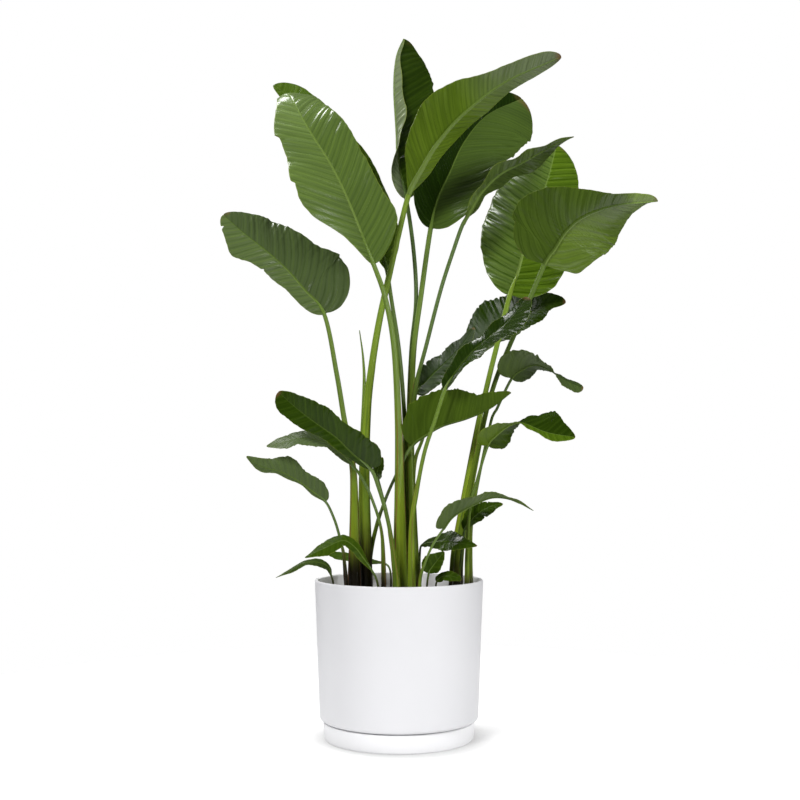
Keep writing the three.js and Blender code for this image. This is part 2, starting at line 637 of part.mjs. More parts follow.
// A blade: two like sheets of triangles, joined round the margin, with the
// rib raised along the underside
function blade(leaf, line) {
  const { lengthwise, across } = STATIONS[leaf.size];
  const start = CLEARANCE / line.total;
  const columns = across.length;
  const middle = (columns - 1) / 2;
  const rows = lengthwise.map((t) => across.map((u) => bladePoint(leaf, line, start + t * (1 - start), u)));
  const top = [];
  const bottom = [];
  rows.forEach((row, i) => {
    const ribDepth = RIB_DEPTH * leaf.radii[2] * (1 - RIB_TAPER * lengthwise[i]);
    row.forEach(({ point, up }, j) => {
      const before = row[Math.max(j - 1, 0)].point;
      const after = row[Math.min(j + 1, columns - 1)].point;
      const ahead = rows[Math.min(i + 1, rows.length - 1)][j].point;
      const behind = rows[Math.max(i - 1, 0)][j].point;
      const normal = new THREE.Vector3().subVectors(after, before);
      normal.cross(new THREE.Vector3().subVectors(ahead, behind)).normalize();
      if (j === middle || normal.lengthSq() === 0) normal.copy(up);
      const depth = BLADE_THICKNESS / 2 + (j === middle ? ribDepth : 0);
      top.push(point.clone().addScaledVector(normal, BLADE_THICKNESS / 2).toArray());
      bottom.push(point.clone().addScaledVector(normal, -depth).toArray());
    });
  });
  const vertices = [...top, ...bottom];
  const count = top.length;
  const triangles = [];
  const wall = (a, b) => triangles.push([a, b, a + count], [b, b + count, a + count]);
  for (let i = 0; i < rows.length - 1; i += 1) {
    for (let j = 0; j < columns - 1; j += 1) {
      const a = i * columns + j;
      const b = a + 1;
      const c = a + columns;
      const d = c + 1;
      const pairs = j < middle ? [[a, b, c], [b, d, c]] : [[a, b, d], [a, d, c]];
      for (const [p, q, r] of pairs) {
        triangles.push([p, q, r], [p + count, r + count, q + count]);
      }
    }
    wall(i * columns, (i + 1) * columns);
    wall((i + 2) * columns - 1, (i + 1) * columns - 1);
  }
  const lastRow = (rows.length - 1) * columns;
  for (let j = 0; j < columns - 1; j += 1) {
    wall(j + 1, j);
    wall(lastRow + j, lastRow + j + 1);
  }
  return bodyOf(vertices, triangles);
}

// A solid of revolution about the upright axis, from [radius, height] pairs
function revolve(profile) {
  const points = profile.map(([radius, height]) => new THREE.Vector2(radius, height));
  const geometry = new THREE.LatheGeometry(points, ROUND_SEGMENTS).rotateX(Math.PI / 2);
  geometry.deleteAttribute('normal');
  geometry.deleteAttribute('uv');
  const { index, attributes } = mergeVertices(geometry, MERGE_DISTANCE);
  const vertices = [];
  for (let i = 0; i < attributes.position.count; i += 1) {
    vertices.push(new THREE.Vector3().fromBufferAttribute(attributes.position, i).toArray());
  }
  const triangles = [];
  for (let i = 0; i < index.count; i += 3) {
    const [a, b, c] = [index.getX(i), index.getX(i + 1), index.getX(i + 2)];
    if (a !== b && b !== c && c !== a) triangles.push([a, b, c]);
  }
  return bodyOf(vertices, triangles);
}

// Points of a round bend about a profile point, between two angles in degrees
function arc(radius, height, bend, fromDegrees, toDegrees, steps) {
  const list = [];
  for (let step = 0; step <= steps; step += 1) {
    const angle = THREE.MathUtils.degToRad(fromDegrees + ((toDegrees - fromDegrees) * step) / steps);
    list.push([radius + bend * Math.cos(angle), height + bend * Math.sin(angle)]);
  }
  return list;
}

// Flat tray with an upright wall
function saucerBody() {
  const lip = SAUCER_WALL / 2;
  const outer = SAUCER_RADIUS - SAUCER_BEND;
  const inner = SAUCER_RADIUS - SAUCER_WALL - SAUCER_BEND;
  return revolve([
    [0, 0],
    ...arc(outer, SAUCER_BEND, SAUCER_BEND, -90, -10, 2),
    ...arc(SAUCER_RADIUS - lip, SAUCER_HEIGHT - lip, lip, 0, 180, 3),
    ...arc(inner, SAUCER_FLOOR + SAUCER_BEND, SAUCER_BEND, 0, -90, 1),
    [0, SAUCER_FLOOR],
  ]);
}

// Tapered pot: a foot that stands in the saucer, a rounded step, a plain
// wall, a round lip and one drain hole
const FOOT_RADIUS = SAUCER_RADIUS - SAUCER_WALL - SAUCER_PLAY;
const FOOT_INSIDE = FOOT_RADIUS - POT_WALL;
const POT_BOTTOM = SAUCER_FLOOR + CLEARANCE;
const POT_FLOOR_TOP = POT_BOTTOM + POT_FLOOR;
const LIP = POT_WALL / 2;
const LEDGE = POT_STEP_HEIGHT + POT_WALL;

function potBody() {
  return revolve([
    [DRAIN_RADIUS, POT_BOTTOM],
    ...arc(FOOT_RADIUS - FOOT_BEND, POT_BOTTOM + FOOT_BEND, FOOT_BEND, -90, 0, 1),
    [FOOT_RADIUS, POT_STEP_HEIGHT],
    ...arc(POT_FOOT_RADIUS - STEP_BEND, POT_STEP_HEIGHT + STEP_BEND, STEP_BEND, -90, 0, 3),
    ...arc(POT_RIM_RADIUS - LIP, POT_HEIGHT - LIP, LIP, 0, 180, 4),
    ...arc(POT_FOOT_RADIUS - POT_WALL - STEP_BEND, LEDGE + STEP_BEND, STEP_BEND, 0, -90, 1),
    [FOOT_INSIDE, LEDGE],
    [FOOT_INSIDE, POT_FLOOR_TOP],
    [DRAIN_RADIUS, POT_FLOOR_TOP],
    [DRAIN_RADIUS, POT_BOTTOM],
  ]);
}

// Soil that fills the pot to a little under its lip
function soilBody() {
  const low = FOOT_INSIDE - CLEARANCE;
  const wide = POT_FOOT_RADIUS - POT_WALL - CLEARANCE;
  const slope = (POT_RIM_RADIUS - POT_FOOT_RADIUS) / (POT_HEIGHT - LIP - LEDGE);
  const edge = wide + slope * (SOIL_TOP - LEDGE - STEP_BEND) - CLEARANCE;
  return revolve([
    [0, POT_FLOOR_TOP + CLEARANCE],
    [low, POT_FLOOR_TOP + CLEARANCE],
    [low, LEDGE + CLEARANCE],
    [wide - STEP_BEND, LEDGE + CLEARANCE],
    [wide, LEDGE + STEP_BEND + CLEARANCE],
    [edge, SOIL_TOP],
    [edge * SOIL_CROWN_SHARE, SOIL_TOP + SOIL_CROWN],
    [0, SOIL_TOP + SOIL_CROWN],
  ]);
}

const plant = new THREE.Group();

function addPiece(name, body, color, roughness) {
  const whole = body.decompose().sort((a, b) => b.volume() - a.volume())[0];
  const { vertProperties, triVerts } = whole.getMesh();
  const geometry = new THREE.BufferGeometry();
  geometry.setAttribute('position', new THREE.BufferAttribute(vertProperties, 3));
  geometry.setIndex(new THREE.BufferAttribute(triVerts, 1));
  geometry.computeVertexNormals();
  const material = new THREE.MeshStandardMaterial({ color, roughness, metalness: 0 });
  const mesh = new THREE.Mesh(geometry, material);
  mesh.name = name;
  plant.add(mesh);
}

// Stalks clasp one another at the foot: each is cut by those before it, and
// the soil has a plain hole for each
const standing = [];

function cutBy(body, cutters) {
  return cutters.reduce((rest, cutter) => rest.subtract(cutter), body);
}

function addStalk(name, line, radiusAt, rings, sides) {
  const body = cutBy(tube(line, radiusAt, rings, sides, 0), standing);
  standing.push(tube(line, radiusAt, rings, sides, CLEARANCE));
  addPiece(name, body, STALK_GREEN, FIBROUS_STALK);
}

for (const leaf of LEAVES) {
  const route = [...leaf.stalk, ...leaf.rib.slice(1)];
  const joint = leaf.stalk.length - 1;
  const { stalkRings, stalkSides } = STATIONS[leaf.size];
  const stalkLine = makeLine(route, 0, joint);
  addStalk(`${leaf.name}_stalk`, stalkLine, stalkRadius(leaf.radii), stalkRings, stalkSides);
  const body = blade(leaf, makeLine(route, joint)).subtract(standing[standing.length - 1]);
  addPiece(`${leaf.name}_blade`, body, BLADE_GREEN, WAXY_BLADE);
}

const spearRadius = (share) => along(SPEAR.radii, share);
addStalk('rolled_new_leaf', makeLine(SPEAR.path), spearRadius, SPEAR.rings, SPEAR.sides);

addPiece('saucer', saucerBody(), WHITE, GLOSSY_PLASTIC);
addPiece('pot', potBody(), WHITE, GLOSSY_PLASTIC);
addPiece('soil', cutBy(soilBody(), standing), SOIL_BROWN, RAW_SOIL);

export default plant;
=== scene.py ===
import math

import bpy
import numpy as np
from mathutils import Euler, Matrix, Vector


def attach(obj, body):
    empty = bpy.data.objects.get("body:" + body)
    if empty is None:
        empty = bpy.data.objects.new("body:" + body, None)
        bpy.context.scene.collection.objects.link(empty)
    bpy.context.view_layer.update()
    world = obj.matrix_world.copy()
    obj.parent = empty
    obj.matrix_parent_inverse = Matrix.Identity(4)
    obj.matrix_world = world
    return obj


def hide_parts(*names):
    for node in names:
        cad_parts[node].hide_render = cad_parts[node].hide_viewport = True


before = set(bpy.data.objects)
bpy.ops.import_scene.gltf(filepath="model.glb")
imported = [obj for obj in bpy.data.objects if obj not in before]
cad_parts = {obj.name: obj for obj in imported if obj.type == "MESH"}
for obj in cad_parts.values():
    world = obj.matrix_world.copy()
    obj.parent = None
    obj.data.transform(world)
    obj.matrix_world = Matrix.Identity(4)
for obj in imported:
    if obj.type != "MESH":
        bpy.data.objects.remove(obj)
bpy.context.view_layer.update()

# Looks of a potted giant white bird of paradise in a white pot on a saucer.
# Sizes are written in millimetres and turned into metres when a mesh is made.
# +Z is up, +X is to the right and +Y runs away from the front.
MM = 0.001
SEED = 7
SEED_STEP = 7.3
OVERTONES = (1, 2, 3.3, 5.1)    # of the smooth wavering

# Driving dimensions of the pot, its saucer and the soil
POT_HEIGHT = 314
POT_RIM_RADIUS = 169
POT_FOOT_RADIUS = 158
POT_WALL = 7
POT_FLOOR = 12
POT_STEP_HEIGHT = 38
DRAIN_RADIUS = 14
SAUCER_RADIUS = 151
SAUCER_HEIGHT = 36
SAUCER_WALL = 5
SAUCER_FLOOR = 4
SOIL_TOP = 272
SOIL_CROWN = 6
CLEARANCE = 0.35
ROUND_SEGMENTS = 200

# Blade sheet, which thins over a short run to its margin, and how finely each
# size of leaf is divided. A half has first the columns over the rib, then those
# out to the margin.
BLADE_THICKNESS = 0.9
MARGIN_THICKNESS = 0.5
MARGIN_RUN = 4
SPLINE_STEPS = 400
FINENESS = {
    "big": {"rows": 230, "rib_columns": 5, "columns": 16, "rings": 84, "sides": 36},
    "mid": {"rows": 150, "rib_columns": 4, "columns": 12, "rings": 60, "sides": 28},
    "small": {"rows": 72, "rib_columns": 3, "columns": 8, "rings": 30, "sides": 20},
}

# Every leaf: the middle line of its stalk and, on from there, of its rib, the
# direction that its upper side faces, and for each half (left, right of the
# rib, seen from above with the tip up) its width, its fold from the rib and its
# curl, in degrees, left out where flat. All lists are spread evenly from the
# base to the tip. The radii are the stalk's at its foot, above its sheath and
# at the blade. The lobe is how far the base reaches back, the tip the share of
# the length that is rounded, and the wave a height, a count and a phase.
FLAT = [[0, 0, 0], [0, 0, 0]]
LEAVES = [
    # Middle fan, front to back
    dict(
        name="front_left", size="big", radii=[17, 10, 4.6], lobe=4, tip=0.2, wave=[5, 3, 0.1],
        stalk=[[2, -62, 232], [1, -62, 515], [-2, -62, 650], [-10, -70, 780], [-27, -80, 872],
            [-50, -86, 938]],
        rib=[[-72, -97, 992], [-92, -106, 1042], [-115, -110, 1094], [-140, -107, 1142], [-168, -96, 1188],
            [-194, -76, 1236], [-218, -40, 1287], [-233, 15, 1312], [-240, 60, 1300]],
        face=[[0.35, -1, 0.1], [0.2, -1, 0.3], [0, -0.2, 1]],
        half=[[20, 40, 94, 90, 68, 57, 34, 22, 14], [38, 78, 68, 68, 74, 66, 60, 50, 36]],
        fold=[[30, 10, -20], [30, 10, 0]], curl=[[-10, -15, -20], [0, -10, -20]],
    ),
    dict(
        name="rear_left", size="big", radii=[11, 4.6, 4], lobe=6, tip=0.1, wave=[4, 3, 0.4],
        stalk=[[20, -30, 232], [15, -30, 515], [10, -35, 655], [0, -30, 775], [-15, -20, 875],
            [-25, -10, 940]],
        rib=[[-40, 5, 1005], [-66, 20, 1085], [-104, 40, 1177], [-166, 62, 1266], [-216, 78, 1310],
            [-268, 95, 1357]],
        face=[[0.4, -1, 0.2], [0.3, -1, 0.3], [0.2, -0.8, 0.6]],
        half=[[25, 46, 55, 48, 34, 22, 14], [25, 44, 48, 42, 40, 48, 52]], fold=[[30, 10, 0], [30, 5, 0]],
        curl=[[0, -10, -10], [0, -5, -10]],
    ),
    dict(
        name="top_broad", size="big", radii=[12, 6, 5.2], lobe=8, tip=0.2, wave=[4, 3, 0.7],
        stalk=[[35, -20, 232], [25, -20, 515], [25, -20, 635], [30, -10, 775], [45, 5, 890],
            [65, 20, 1030]],
        rib=[[80, 40, 1095], [105, 60, 1155], [138, 90, 1230], [190, 120, 1298], [268, 150, 1344]],
        face=[[-0.3, -1, 0], [-0.2, -1, 0.3], [0, -0.6, 1]],
        half=[[50, 84, 84, 60, 40], [62, 90, 94, 104, 112, 112, 112, 100, 84]],
        fold=[[60, 55, 30], [10, 0, -20]], curl=[[0, 0, 0], [0, 0, -35]],
    ),
    dict(
        name="top_upright", size="big", radii=[11, 4.8, 4.2], lobe=6, tip=0.24, wave=[3, 4, 0.2],
        stalk=[[25, -10, 232], [20, -10, 515], [20, -5, 635], [25, 0, 775], [35, 10, 880], [30, 20, 985],
            [15, 30, 1095]],
        rib=[[0, 35, 1165], [-5, 35, 1250], [-10, 35, 1335], [-5, 30, 1395], [10, 20, 1430]],
        face=[[0.3, -1, 0], [0.8, -0.7, 0], [0.9, -0.5, 0.2]],
        half=[[26, 34, 34, 22, 25, 22, 15, 11, 8], [30, 62, 88, 92, 60]],
        fold=[[20, 35, 80, 95, 100], [20, 25, 25]], curl=[[0, 30, 40], [0, 0, 0]],
    ),
    dict(
        name="top_curled", size="big", radii=[11, 4.8, 4.2], lobe=0, tip=0.2, wave=[4, 4, 0.2],
        stalk=[[35, -50, 232], [25, -45, 515], [25, -40, 615], [35, -40, 705], [55, -30, 785],
            [85, -12, 900], [112, -6, 984], [130, -6, 1034]],
        rib=[[146, -14, 1060], [169, -20, 1098], [206, -20, 1134], [254, -20, 1160], [294, -27, 1181],
            [320, -35, 1194], [353, -45, 1205]],
        face=[[-0.5, 0.3, 0.9], [-0.3, 0.2, 1], [-0.2, 0, 1]],
        half=[[6, 20, 30, 36, 38, 38, 36, 8, 5], [4, 10, 15, 22, 24, 21, 17, 10, 6]],
        fold=[[10, -15, -20], [25, 25, 20]], curl=[[0, 0, 0], [10, 10, 10]],
    ),
    dict(
        name="centre_fore", size="mid", radii=[10, 4.4, 3.8], lobe=6, tip=0.28, wave=[4, 3, 0.3],
        stalk=[[25, -90, 232], [25, -92, 415], [35, -98, 495], [50, -104, 570], [70, -106, 630],
            [90, -106, 690]],
        rib=[[115, -108, 730], [145, -108, 765], [180, -110, 795], [215, -110, 825], [250, -105, 870]],
        face=[[-0.5, -0.5, 0.8], [-0.5, -0.5, 0.8], [-0.6, -0.6, 0.6]],
        half=[[18, 23, 20, 20, 16], [14, 32, 50, 60, 40]], fold=[[30, 25, 10], [10, 5, 5]],
    ),
    dict(
        name="inner_dark", size="mid", radii=[8, 3.8, 3.2], lobe=10, tip=0.35, wave=[3, 3, 0.3],
        stalk=[[20, 60, 232], [20, 60, 535], [25, 50, 635], [35, 45, 690]],
        rib=[[60, 40, 720], [85, 40, 745], [112, 40, 770], [135, 40, 797], [156, 45, 828]],
        face=[[-0.5, -0.8, 0.5], [-0.5, -0.7, 0.6], [-0.4, -0.6, 0.8]],
        half=[[20, 36, 34, 26, 14], [24, 40, 36, 28, 14]], fold=[[10, 0, 0], [10, 0, 0]],
    ),
    dict(
        name="centre_rear", size="mid", radii=[8, 3.8, 3.2], lobe=6, tip=0.3, wave=[4, 3, 0.3],
        stalk=[[35, 85, 232], [30, 80, 510], [50, 80, 600], [85, 80, 690], [120, 80, 745], [150, 85, 775]],
        rib=[[180, 85, 800], [220, 85, 830], [265, 85, 855], [305, 80, 880], [350, 70, 885]],
        face=[[-0.3, -0.8, 0.6], [-0.3, -0.8, 0.7], [-0.3, -0.8, 0.8]],
        half=[[30, 62, 90, 98, 96, 76, 56, 40, 26], [16, 26, 34, 42, 46, 44, 40, 32, 20]],
        fold=[[0, 0, 0], [10, 10, 10]],
    ),
    dict(
        name="low_left", size="mid", radii=[9.5, 4.4, 3.8], lobe=12, tip=0.2, wave=[3, 3, 0.3],
        stalk=[[0, -95, 232], [-5, -95, 320], [-15, -95, 400], [-25, -95, 450], [-40, -90, 500],
            [-55, -90, 535]],
        rib=[[-90, -95, 565], [-120, -100, 595], [-155, -100, 620], [-195, -105, 650], [-235, -100, 685]],
        face=[[-0.3, -0.8, -0.8], [-0.3, -0.9, -0.4], [-0.3, -1, -0.3]],
        half=[[10, 12, 15, 18, 20, 24, 27, 30, 26], [60, 68, 60, 42, 50, 44, 34, 25, 14]],
        fold=[[20, 20, 20], [10, 10, 10]],
    ),
    dict(
        name="low_left_thin", size="mid", radii=[7, 3.2, 2.8], lobe=2, tip=0.35, wave=[2, 3, 0.3],
        stalk=[[-30, -50, 232], [-30, -55, 335], [-35, -55, 415], [-55, -55, 480], [-75, -55, 520],
            [-95, -50, 545]],
        rib=[[-125, -55, 575], [-155, -60, 590], [-195, -65, 595], [-230, -70, 587], [-260, -75, 580]],
        face=[[-0.2, -0.5, 1], [-0.1, -0.5, 1], [-0.1, -0.6, 1]],
        half=[[12, 22, 28, 28, 20], [14, 24, 28, 24, 14]], fold=[[10, 0, 0], [10, 10, 0]],
    ),
    dict(
        name="right_seedling", size="small", radii=[4.5, 2.4, 2.2], lobe=2, tip=0.45, wave=[1.5, 2, 0.3],
        stalk=[[42, 8, 232], [42, 8, 312], [42, 6, 360], [46, 0, 382]],
        rib=[[66, -26, 389], [86, -50, 392], [108, -68, 391], [130, -80, 389], [152, -88, 386]],
        face=[[0, -0.6, 0.9], [0, -0.7, 0.8], [0, -0.7, 0.8]],
        half=[[10, 26, 28, 20, 8], [10, 20, 26, 22, 8]], fold=[[10, 10, 0], [0, 0, 0]],
    ),
    dict(
        name="tiny_left", size="small", radii=[3.5, 2, 1.8], lobe=2, tip=0.35, wave=[2, 2, 0.3],
        stalk=[[-2, -60, 232], [-12, -62, 376], [-22, -66, 444], [-32, -72, 484], [-40, -76, 514]],
        rib=[[-42, -78, 526], [-40, -80, 538], [-36, -82, 546], [-32, -84, 558]],
        face=[[-0.6, -0.8, 0.2], [-0.6, -0.8, 0.2], [-0.6, -0.8, 0.2]],
        half=[[6, 12, 12, 10, 5], [6, 12, 12, 10, 5]],
    ),
    # Left fan
    dict(
        name="top_arching", size="big", radii=[14, 10, 5.2], lobe=0, tip=0.08, wave=[4, 3, 0.2],
        stalk=[[-65, 10, 232], [-70, 10, 515], [-65, 5, 655], [-55, 0, 745], [-40, -10, 835],
            [-20, -25, 925], [0, -40, 1010], [20, -60, 1084]],
        rib=[[44, -85, 1126], [75, -110, 1172], [125, -140, 1223], [205, -165, 1278], [310, -180, 1322]],
        face=[[0.5, 0.8, -0.1], [0.25, 0.9, 0.6], [-0.1, 0.6, 0.9]],
        half=[[10, 26, 36, 44, 44, 38, 30, 22, 14], [8, 50, 68, 72, 60, 38, 30, 26, 18]],
        fold=[[75, 62, 30, 15], [10, 10, 5]], curl=[[0, 0, 0], [0, -10, 0]],
    ),
    dict(
        name="left_spread", size="big", radii=[16, 7.5, 4.2], lobe=6, tip=0.14, wave=[4, 3, 0.5],
        stalk=[[-90, -10, 232], [-90, -15, 475], [-95, -20, 555], [-110, -25, 635], [-125, -30, 725],
            [-150, -40, 845]],
        rib=[[-190, -45, 895], [-225, -50, 935], [-265, -60, 970], [-310, -65, 1005], [-350, -70, 1040]],
        face=[[0.1, -1, 0.4], [0.2, -0.9, 0.6], [0.1, -0.8, 0.9]],
        half=[[24, 27, 30, 33, 36, 43, 50, 34, 24], [60, 96, 108, 88, 88, 86, 76, 60, 44]],
        fold=[[0, -10, -10], [10, 0, 0]], curl=[[-30, -30, -20], [0, 0, -20]],
    ),
    dict(
        name="low_centre", size="mid", radii=[8, 3.8, 3], lobe=0, tip=0.25, wave=[2.5, 3, 0.3],
        stalk=[[-70, 50, 232], [-60, 40, 350], [-45, 5, 420], [-25, -30, 480], [0, -47, 535],
            [25, -63, 580]],
        rib=[[50, -66, 600], [85, -68, 620], [135, -72, 635], [180, -78, 655], [220, -80, 685]],
        face=[[-0.2, 0.1, 1], [-0.2, 0.1, 1], [-0.2, 0.1, 1]],
        half=[[40, 66, 56, 34, 18], [48, 70, 60, 34, 16]], fold=[[85, 65, 50], [75, 75, 65]],
    ),
    dict(
        name="left_sucker", size="mid", radii=[6.5, 3.2, 2.6], lobe=3, tip=0.35, wave=[3, 3, 0.3],
        stalk=[[-95, -40, 232], [-105, -40, 310], [-110, -40, 365], [-120, -45, 410], [-130, -45, 440],
            [-145, -50, 470]],
        rib=[[-170, -55, 490], [-205, -60, 515], [-235, -65, 530], [-270, -70, 540], [-300, -70, 560]],
        face=[[0.4, -0.7, 0.8], [0.3, -0.8, 0.8], [0.2, -0.8, 0.8]],
        half=[[6, 5, 6, 10, 9], [26, 30, 28, 30, 37, 31, 24, 18, 12]], fold=[[-10, -15, -20], [20, 20, 0]],
        curl=[[-10, -20, 0], [0, 0, 0]],
    ),
    dict(
        name="front_sucker", size="small", radii=[5, 2.6, 2.2], lobe=2, tip=0.4, wave=[2, 2, 0.3],
        stalk=[[-32, -108, 232], [-40, -108, 310], [-52, -108, 340]],
        rib=[[-70, -110, 366], [-86, -112, 386], [-108, -116, 398], [-142, -120, 384], [-180, -124, 366]],
        face=[[0.5, -0.5, 0.8], [0.2, -0.6, 0.8], [-0.2, -0.6, 0.8]],
        half=[[6, 10, 14, 16, 8], [6, 12, 18, 16, 8]], fold=[[-20, -20, -20], [-10, 0, -10]],
    ),
    dict(
        name="left_seedling", size="small", radii=[4.5, 2.4, 2], lobe=2, tip=0.4, wave=[1.5, 2, 0.3],
        stalk=[[-124, -30, 232], [-130, -30, 302], [-134, -32, 322]],
        rib=[[-140, -32, 340], [-158, -38, 350], [-186, -46, 350], [-212, -54, 336], [-242, -60, 322]],
        face=[[0.8, -0.5, 0.4], [0.2, -0.6, 0.8], [-0.3, -0.6, 0.8]],
        half=[[5, 9, 7, 5, 3], [5, 9, 7, 5, 3]], fold=[[-20, -20, -20], [-10, 0, -10]],
    ),
    dict(
        name="rear_seedling", size="small", radii=[4.5, 2.2, 2], lobe=2, tip=0.3, wave=[1.5, 2, 0.3],
        stalk=[[-14, 34, 232], [-16, 38, 288], [-22, 46, 336]],
        rib=[[-60, 84, 342], [-102, 100, 350], [-132, 104, 354], [-164, 106, 362]],
        face=[[0, -0.4, 1], [0, -0.4, 1], [0, -0.4, 1]], half=[[3, 8, 16, 16, 8], [3, 8, 16, 16, 8]],
    ),
    # Right fan
    dict(
        name="right_broad", size="big", radii=[13, 6, 5.2], lobe=6, tip=0.22, wave=[4, 3, 0.3],
        stalk=[[112, 30, 232], [115, 30, 350], [130, 30, 450], [160, 30, 615], [180, 35, 700],
            [200, 40, 780], [230, 40, 895]],
        rib=[[250, 60, 950], [270, 85, 1020], [295, 120, 1090], [325, 155, 1168], [350, 195, 1254]],
        face=[[-0.2, -1, 0.3], [-0.1, -1, 0.4], [0.1, -1, 0.7]],
        half=[[38, 94, 106, 92, 60], [62, 100, 104, 72, 56]], fold=[[-5, 0, -10], [-5, 0, -10]],
        curl=[[-10, -20, -20], [-10, -20, -25]],
    ),
    dict(
        name="right_fore", size="big", radii=[12, 4.8, 4.6], lobe=8, tip=0.08, wave=[3, 3, 0.3],
        stalk=[[117, 0, 232], [120, 0, 350], [135, -5, 450], [170, -15, 625], [190, -25, 700],
            [210, -40, 755], [250, -70, 850], [285, -100, 935]],
        rib=[[305, -110, 965], [322, -122, 992], [345, -137, 1014], [378, -154, 1029], [424, -174, 1038],
            [487, -198, 1039]],
        face=[[0.3, 1, 0.3], [0.2, 0.8, 0.6], [0, 0.3, 1]],
        half=[[36, 72, 92, 97, 93, 78, 56, 34, 18], [84, 100, 108, 82, 50, 32, 22, 17, 14]],
        fold=[[10, 10, 20], [0, 5, 20]], curl=[[10, 20, 30], [0, 15, 30]],
    ),
    dict(
        name="right_twisted", size="mid", radii=[7, 3.2, 2.8], lobe=8, tip=0.3, wave=[2, 3, 0.3],
        stalk=[[145, -20, 232], [142, -22, 354], [148, -24, 454], [182, -34, 622], [196, -38, 656],
            [224, -46, 714]],
        rib=[[244, -50, 732], [270, -56, 742], [298, -62, 732], [328, -66, 710], [364, -68, 694]],
        face=[[-0.3, 0.8, 0.5], [0.1, 0.1, 1], [0.3, -0.9, 0.5]],
        half=[[24, 34, 18, 18, 12], [66, 68, 30, 32, 26]], curl=[[0, 0, 0], [-20, 0, 0]],
    ),
    dict(
        name="right_low", size="mid", radii=[7, 3.2, 2.8], lobe=8, tip=0.25, wave=[3, 4, 0.3],
        stalk=[[135, -50, 232], [135, -50, 355], [140, -55, 455], [155, -55, 515], [175, -60, 580]],
        rib=[[190, -65, 600], [215, -70, 620], [242, -75, 626], [290, -80, 607], [344, -90, 597]],
        face=[[-0.3, 0.7, 0.6], [-0.2, 0.4, 0.9], [0, -0.5, 0.9], [0.1, -0.8, 0.5], [0.1, -0.9, 0.4]],
        half=[[32, 40, 44, 34, 40, 66, 46, 30, 14], [50, 46, 36, 18, 10, 14, 16, 16, 12]],
        curl=[[-20, 0, 0], [-20, 0, 0]],
    ),
    dict(
        name="right_sucker", size="mid", radii=[5.5, 2.8, 2.4], lobe=14, tip=0.4, wave=[2, 3, 0.3],
        stalk=[[40, -110, 232], [40, -110, 315], [50, -115, 355], [65, -115, 390], [85, -120, 420]],
        rib=[[105, -120, 445], [140, -120, 465], [180, -115, 480], [220, -110, 475], [260, -105, 455]],
        face=[[-0.5, 0.2, 0.8], [-0.1, 0.2, 1], [0.3, 0.2, 1]],
        half=[[58, 64, 36, 12, 6], [44, 42, 24, 10, 5]], fold=[[10, 10, 10], [20, 20, 15]],
    ),
    dict(
        name="torn_strip", size="small", radii=[4, 2.2, 2], lobe=2, tip=0.4, wave=[2, 3, 0.3],
        stalk=[[118, -34, 232], [120, -34, 314], [124, -36, 370], [130, -40, 414]],
        rib=[[142, -42, 432], [158, -44, 448], [174, -46, 458], [190, -48, 464], [206, -48, 466]],
        face=[[-0.3, -0.9, 0.5], [-0.3, -0.9, 0.5], [-0.3, -0.9, 0.5]],
        half=[[8, 20, 18, 10, 6], [6, 14, 20, 16, 8]], fold=[[10, 10, 10], [10, 10, 10]],
    ),
    dict(
        name="small_right", size="small", radii=[4, 2.2, 2], lobe=3, tip=0.4, wave=[2, 2, 0.3],
        stalk=[[52, -80, 232], [54, -80, 300], [58, -80, 332]],
        rib=[[64, -80, 344], [72, -80, 354], [80, -78, 364], [88, -76, 374]],
        face=[[0.2, -1, 0.2], [0.2, -1, 0.2], [0.2, -1, 0.2]],
        half=[[12, 24, 20, 12, 6], [8, 16, 14, 10, 6]], fold=[[10, 10, 10], [10, 10, 10]],
    ),
    dict(
        name="tiny_right", size="small", radii=[3.5, 2, 1.8], lobe=2, tip=0.35, wave=[2, 2, 0.3],
        stalk=[[72, -60, 232], [72, -60, 294], [74, -62, 314]],
        rib=[[84, -64, 324], [98, -68, 326], [110, -70, 324], [122, -72, 318]],
        face=[[0, -0.7, 0.8], [0, -0.7, 0.8], [0, -0.7, 0.8]],
        half=[[6, 12, 12, 12, 6], [6, 12, 12, 12, 6]],
    ),
]

# The rolled new leaf, a tapering spear among the left fan
SPEAR = {
    "path": [[-75, 30, 232], [-76, 34, 520], [-72, 38, 690], [-74, 40, 760], [-82, 42, 822]],
    "radii": [9, 8, 6.5, 4.5, 1],
    "rings": 90,
    "sides": 36,
}

# How light and yellow each blade is, from -1 for the darkest to 1 for the lightest, for
# its left and its right half: partly the leaf's age and partly painted shade, as a half
# that lies in shadow is set darker (top_broad's left half is set darkest)
TONES_AND_PAINTED_SHADE = {
    "front_left": (0.6, 0.2), "rear_left": (-0.2, -0.2), "top_broad": (-1, -0.2),
    "top_upright": (0.9, -0.7), "top_curled": (-0.5, -0.3), "centre_fore": (-0.9, -0.75),
    "inner_dark": (-0.9, -0.8), "centre_rear": (-0.85, -0.7), "low_left": (-0.7, -0.6),
    "low_left_thin": (-0.4, -0.4), "left_spread": (0.1, -0.5), "low_centre": (-0.6, -0.6),
    "left_sucker": (-0.5, -0.4), "front_sucker": (-0.4, -0.3), "left_seedling": (-0.6, -0.6),
    "rear_seedling": (-0.4, -0.4), "top_arching": (0.45, -0.1), "right_broad": (0.35, 0.5),
    "right_fore": (0.25, -0.65), "right_twisted": (-0.8, -0.45), "right_low": (-0.75, 0.2),
    "right_sucker": (-0.65, -0.4), "torn_strip": (-0.6, -0.5), "small_right": (-0.5, -0.4),
    "right_seedling": (-0.6, -0.5), "tiny_right": (-0.5, -0.5), "tiny_left": (-0.4, -0.4),
}
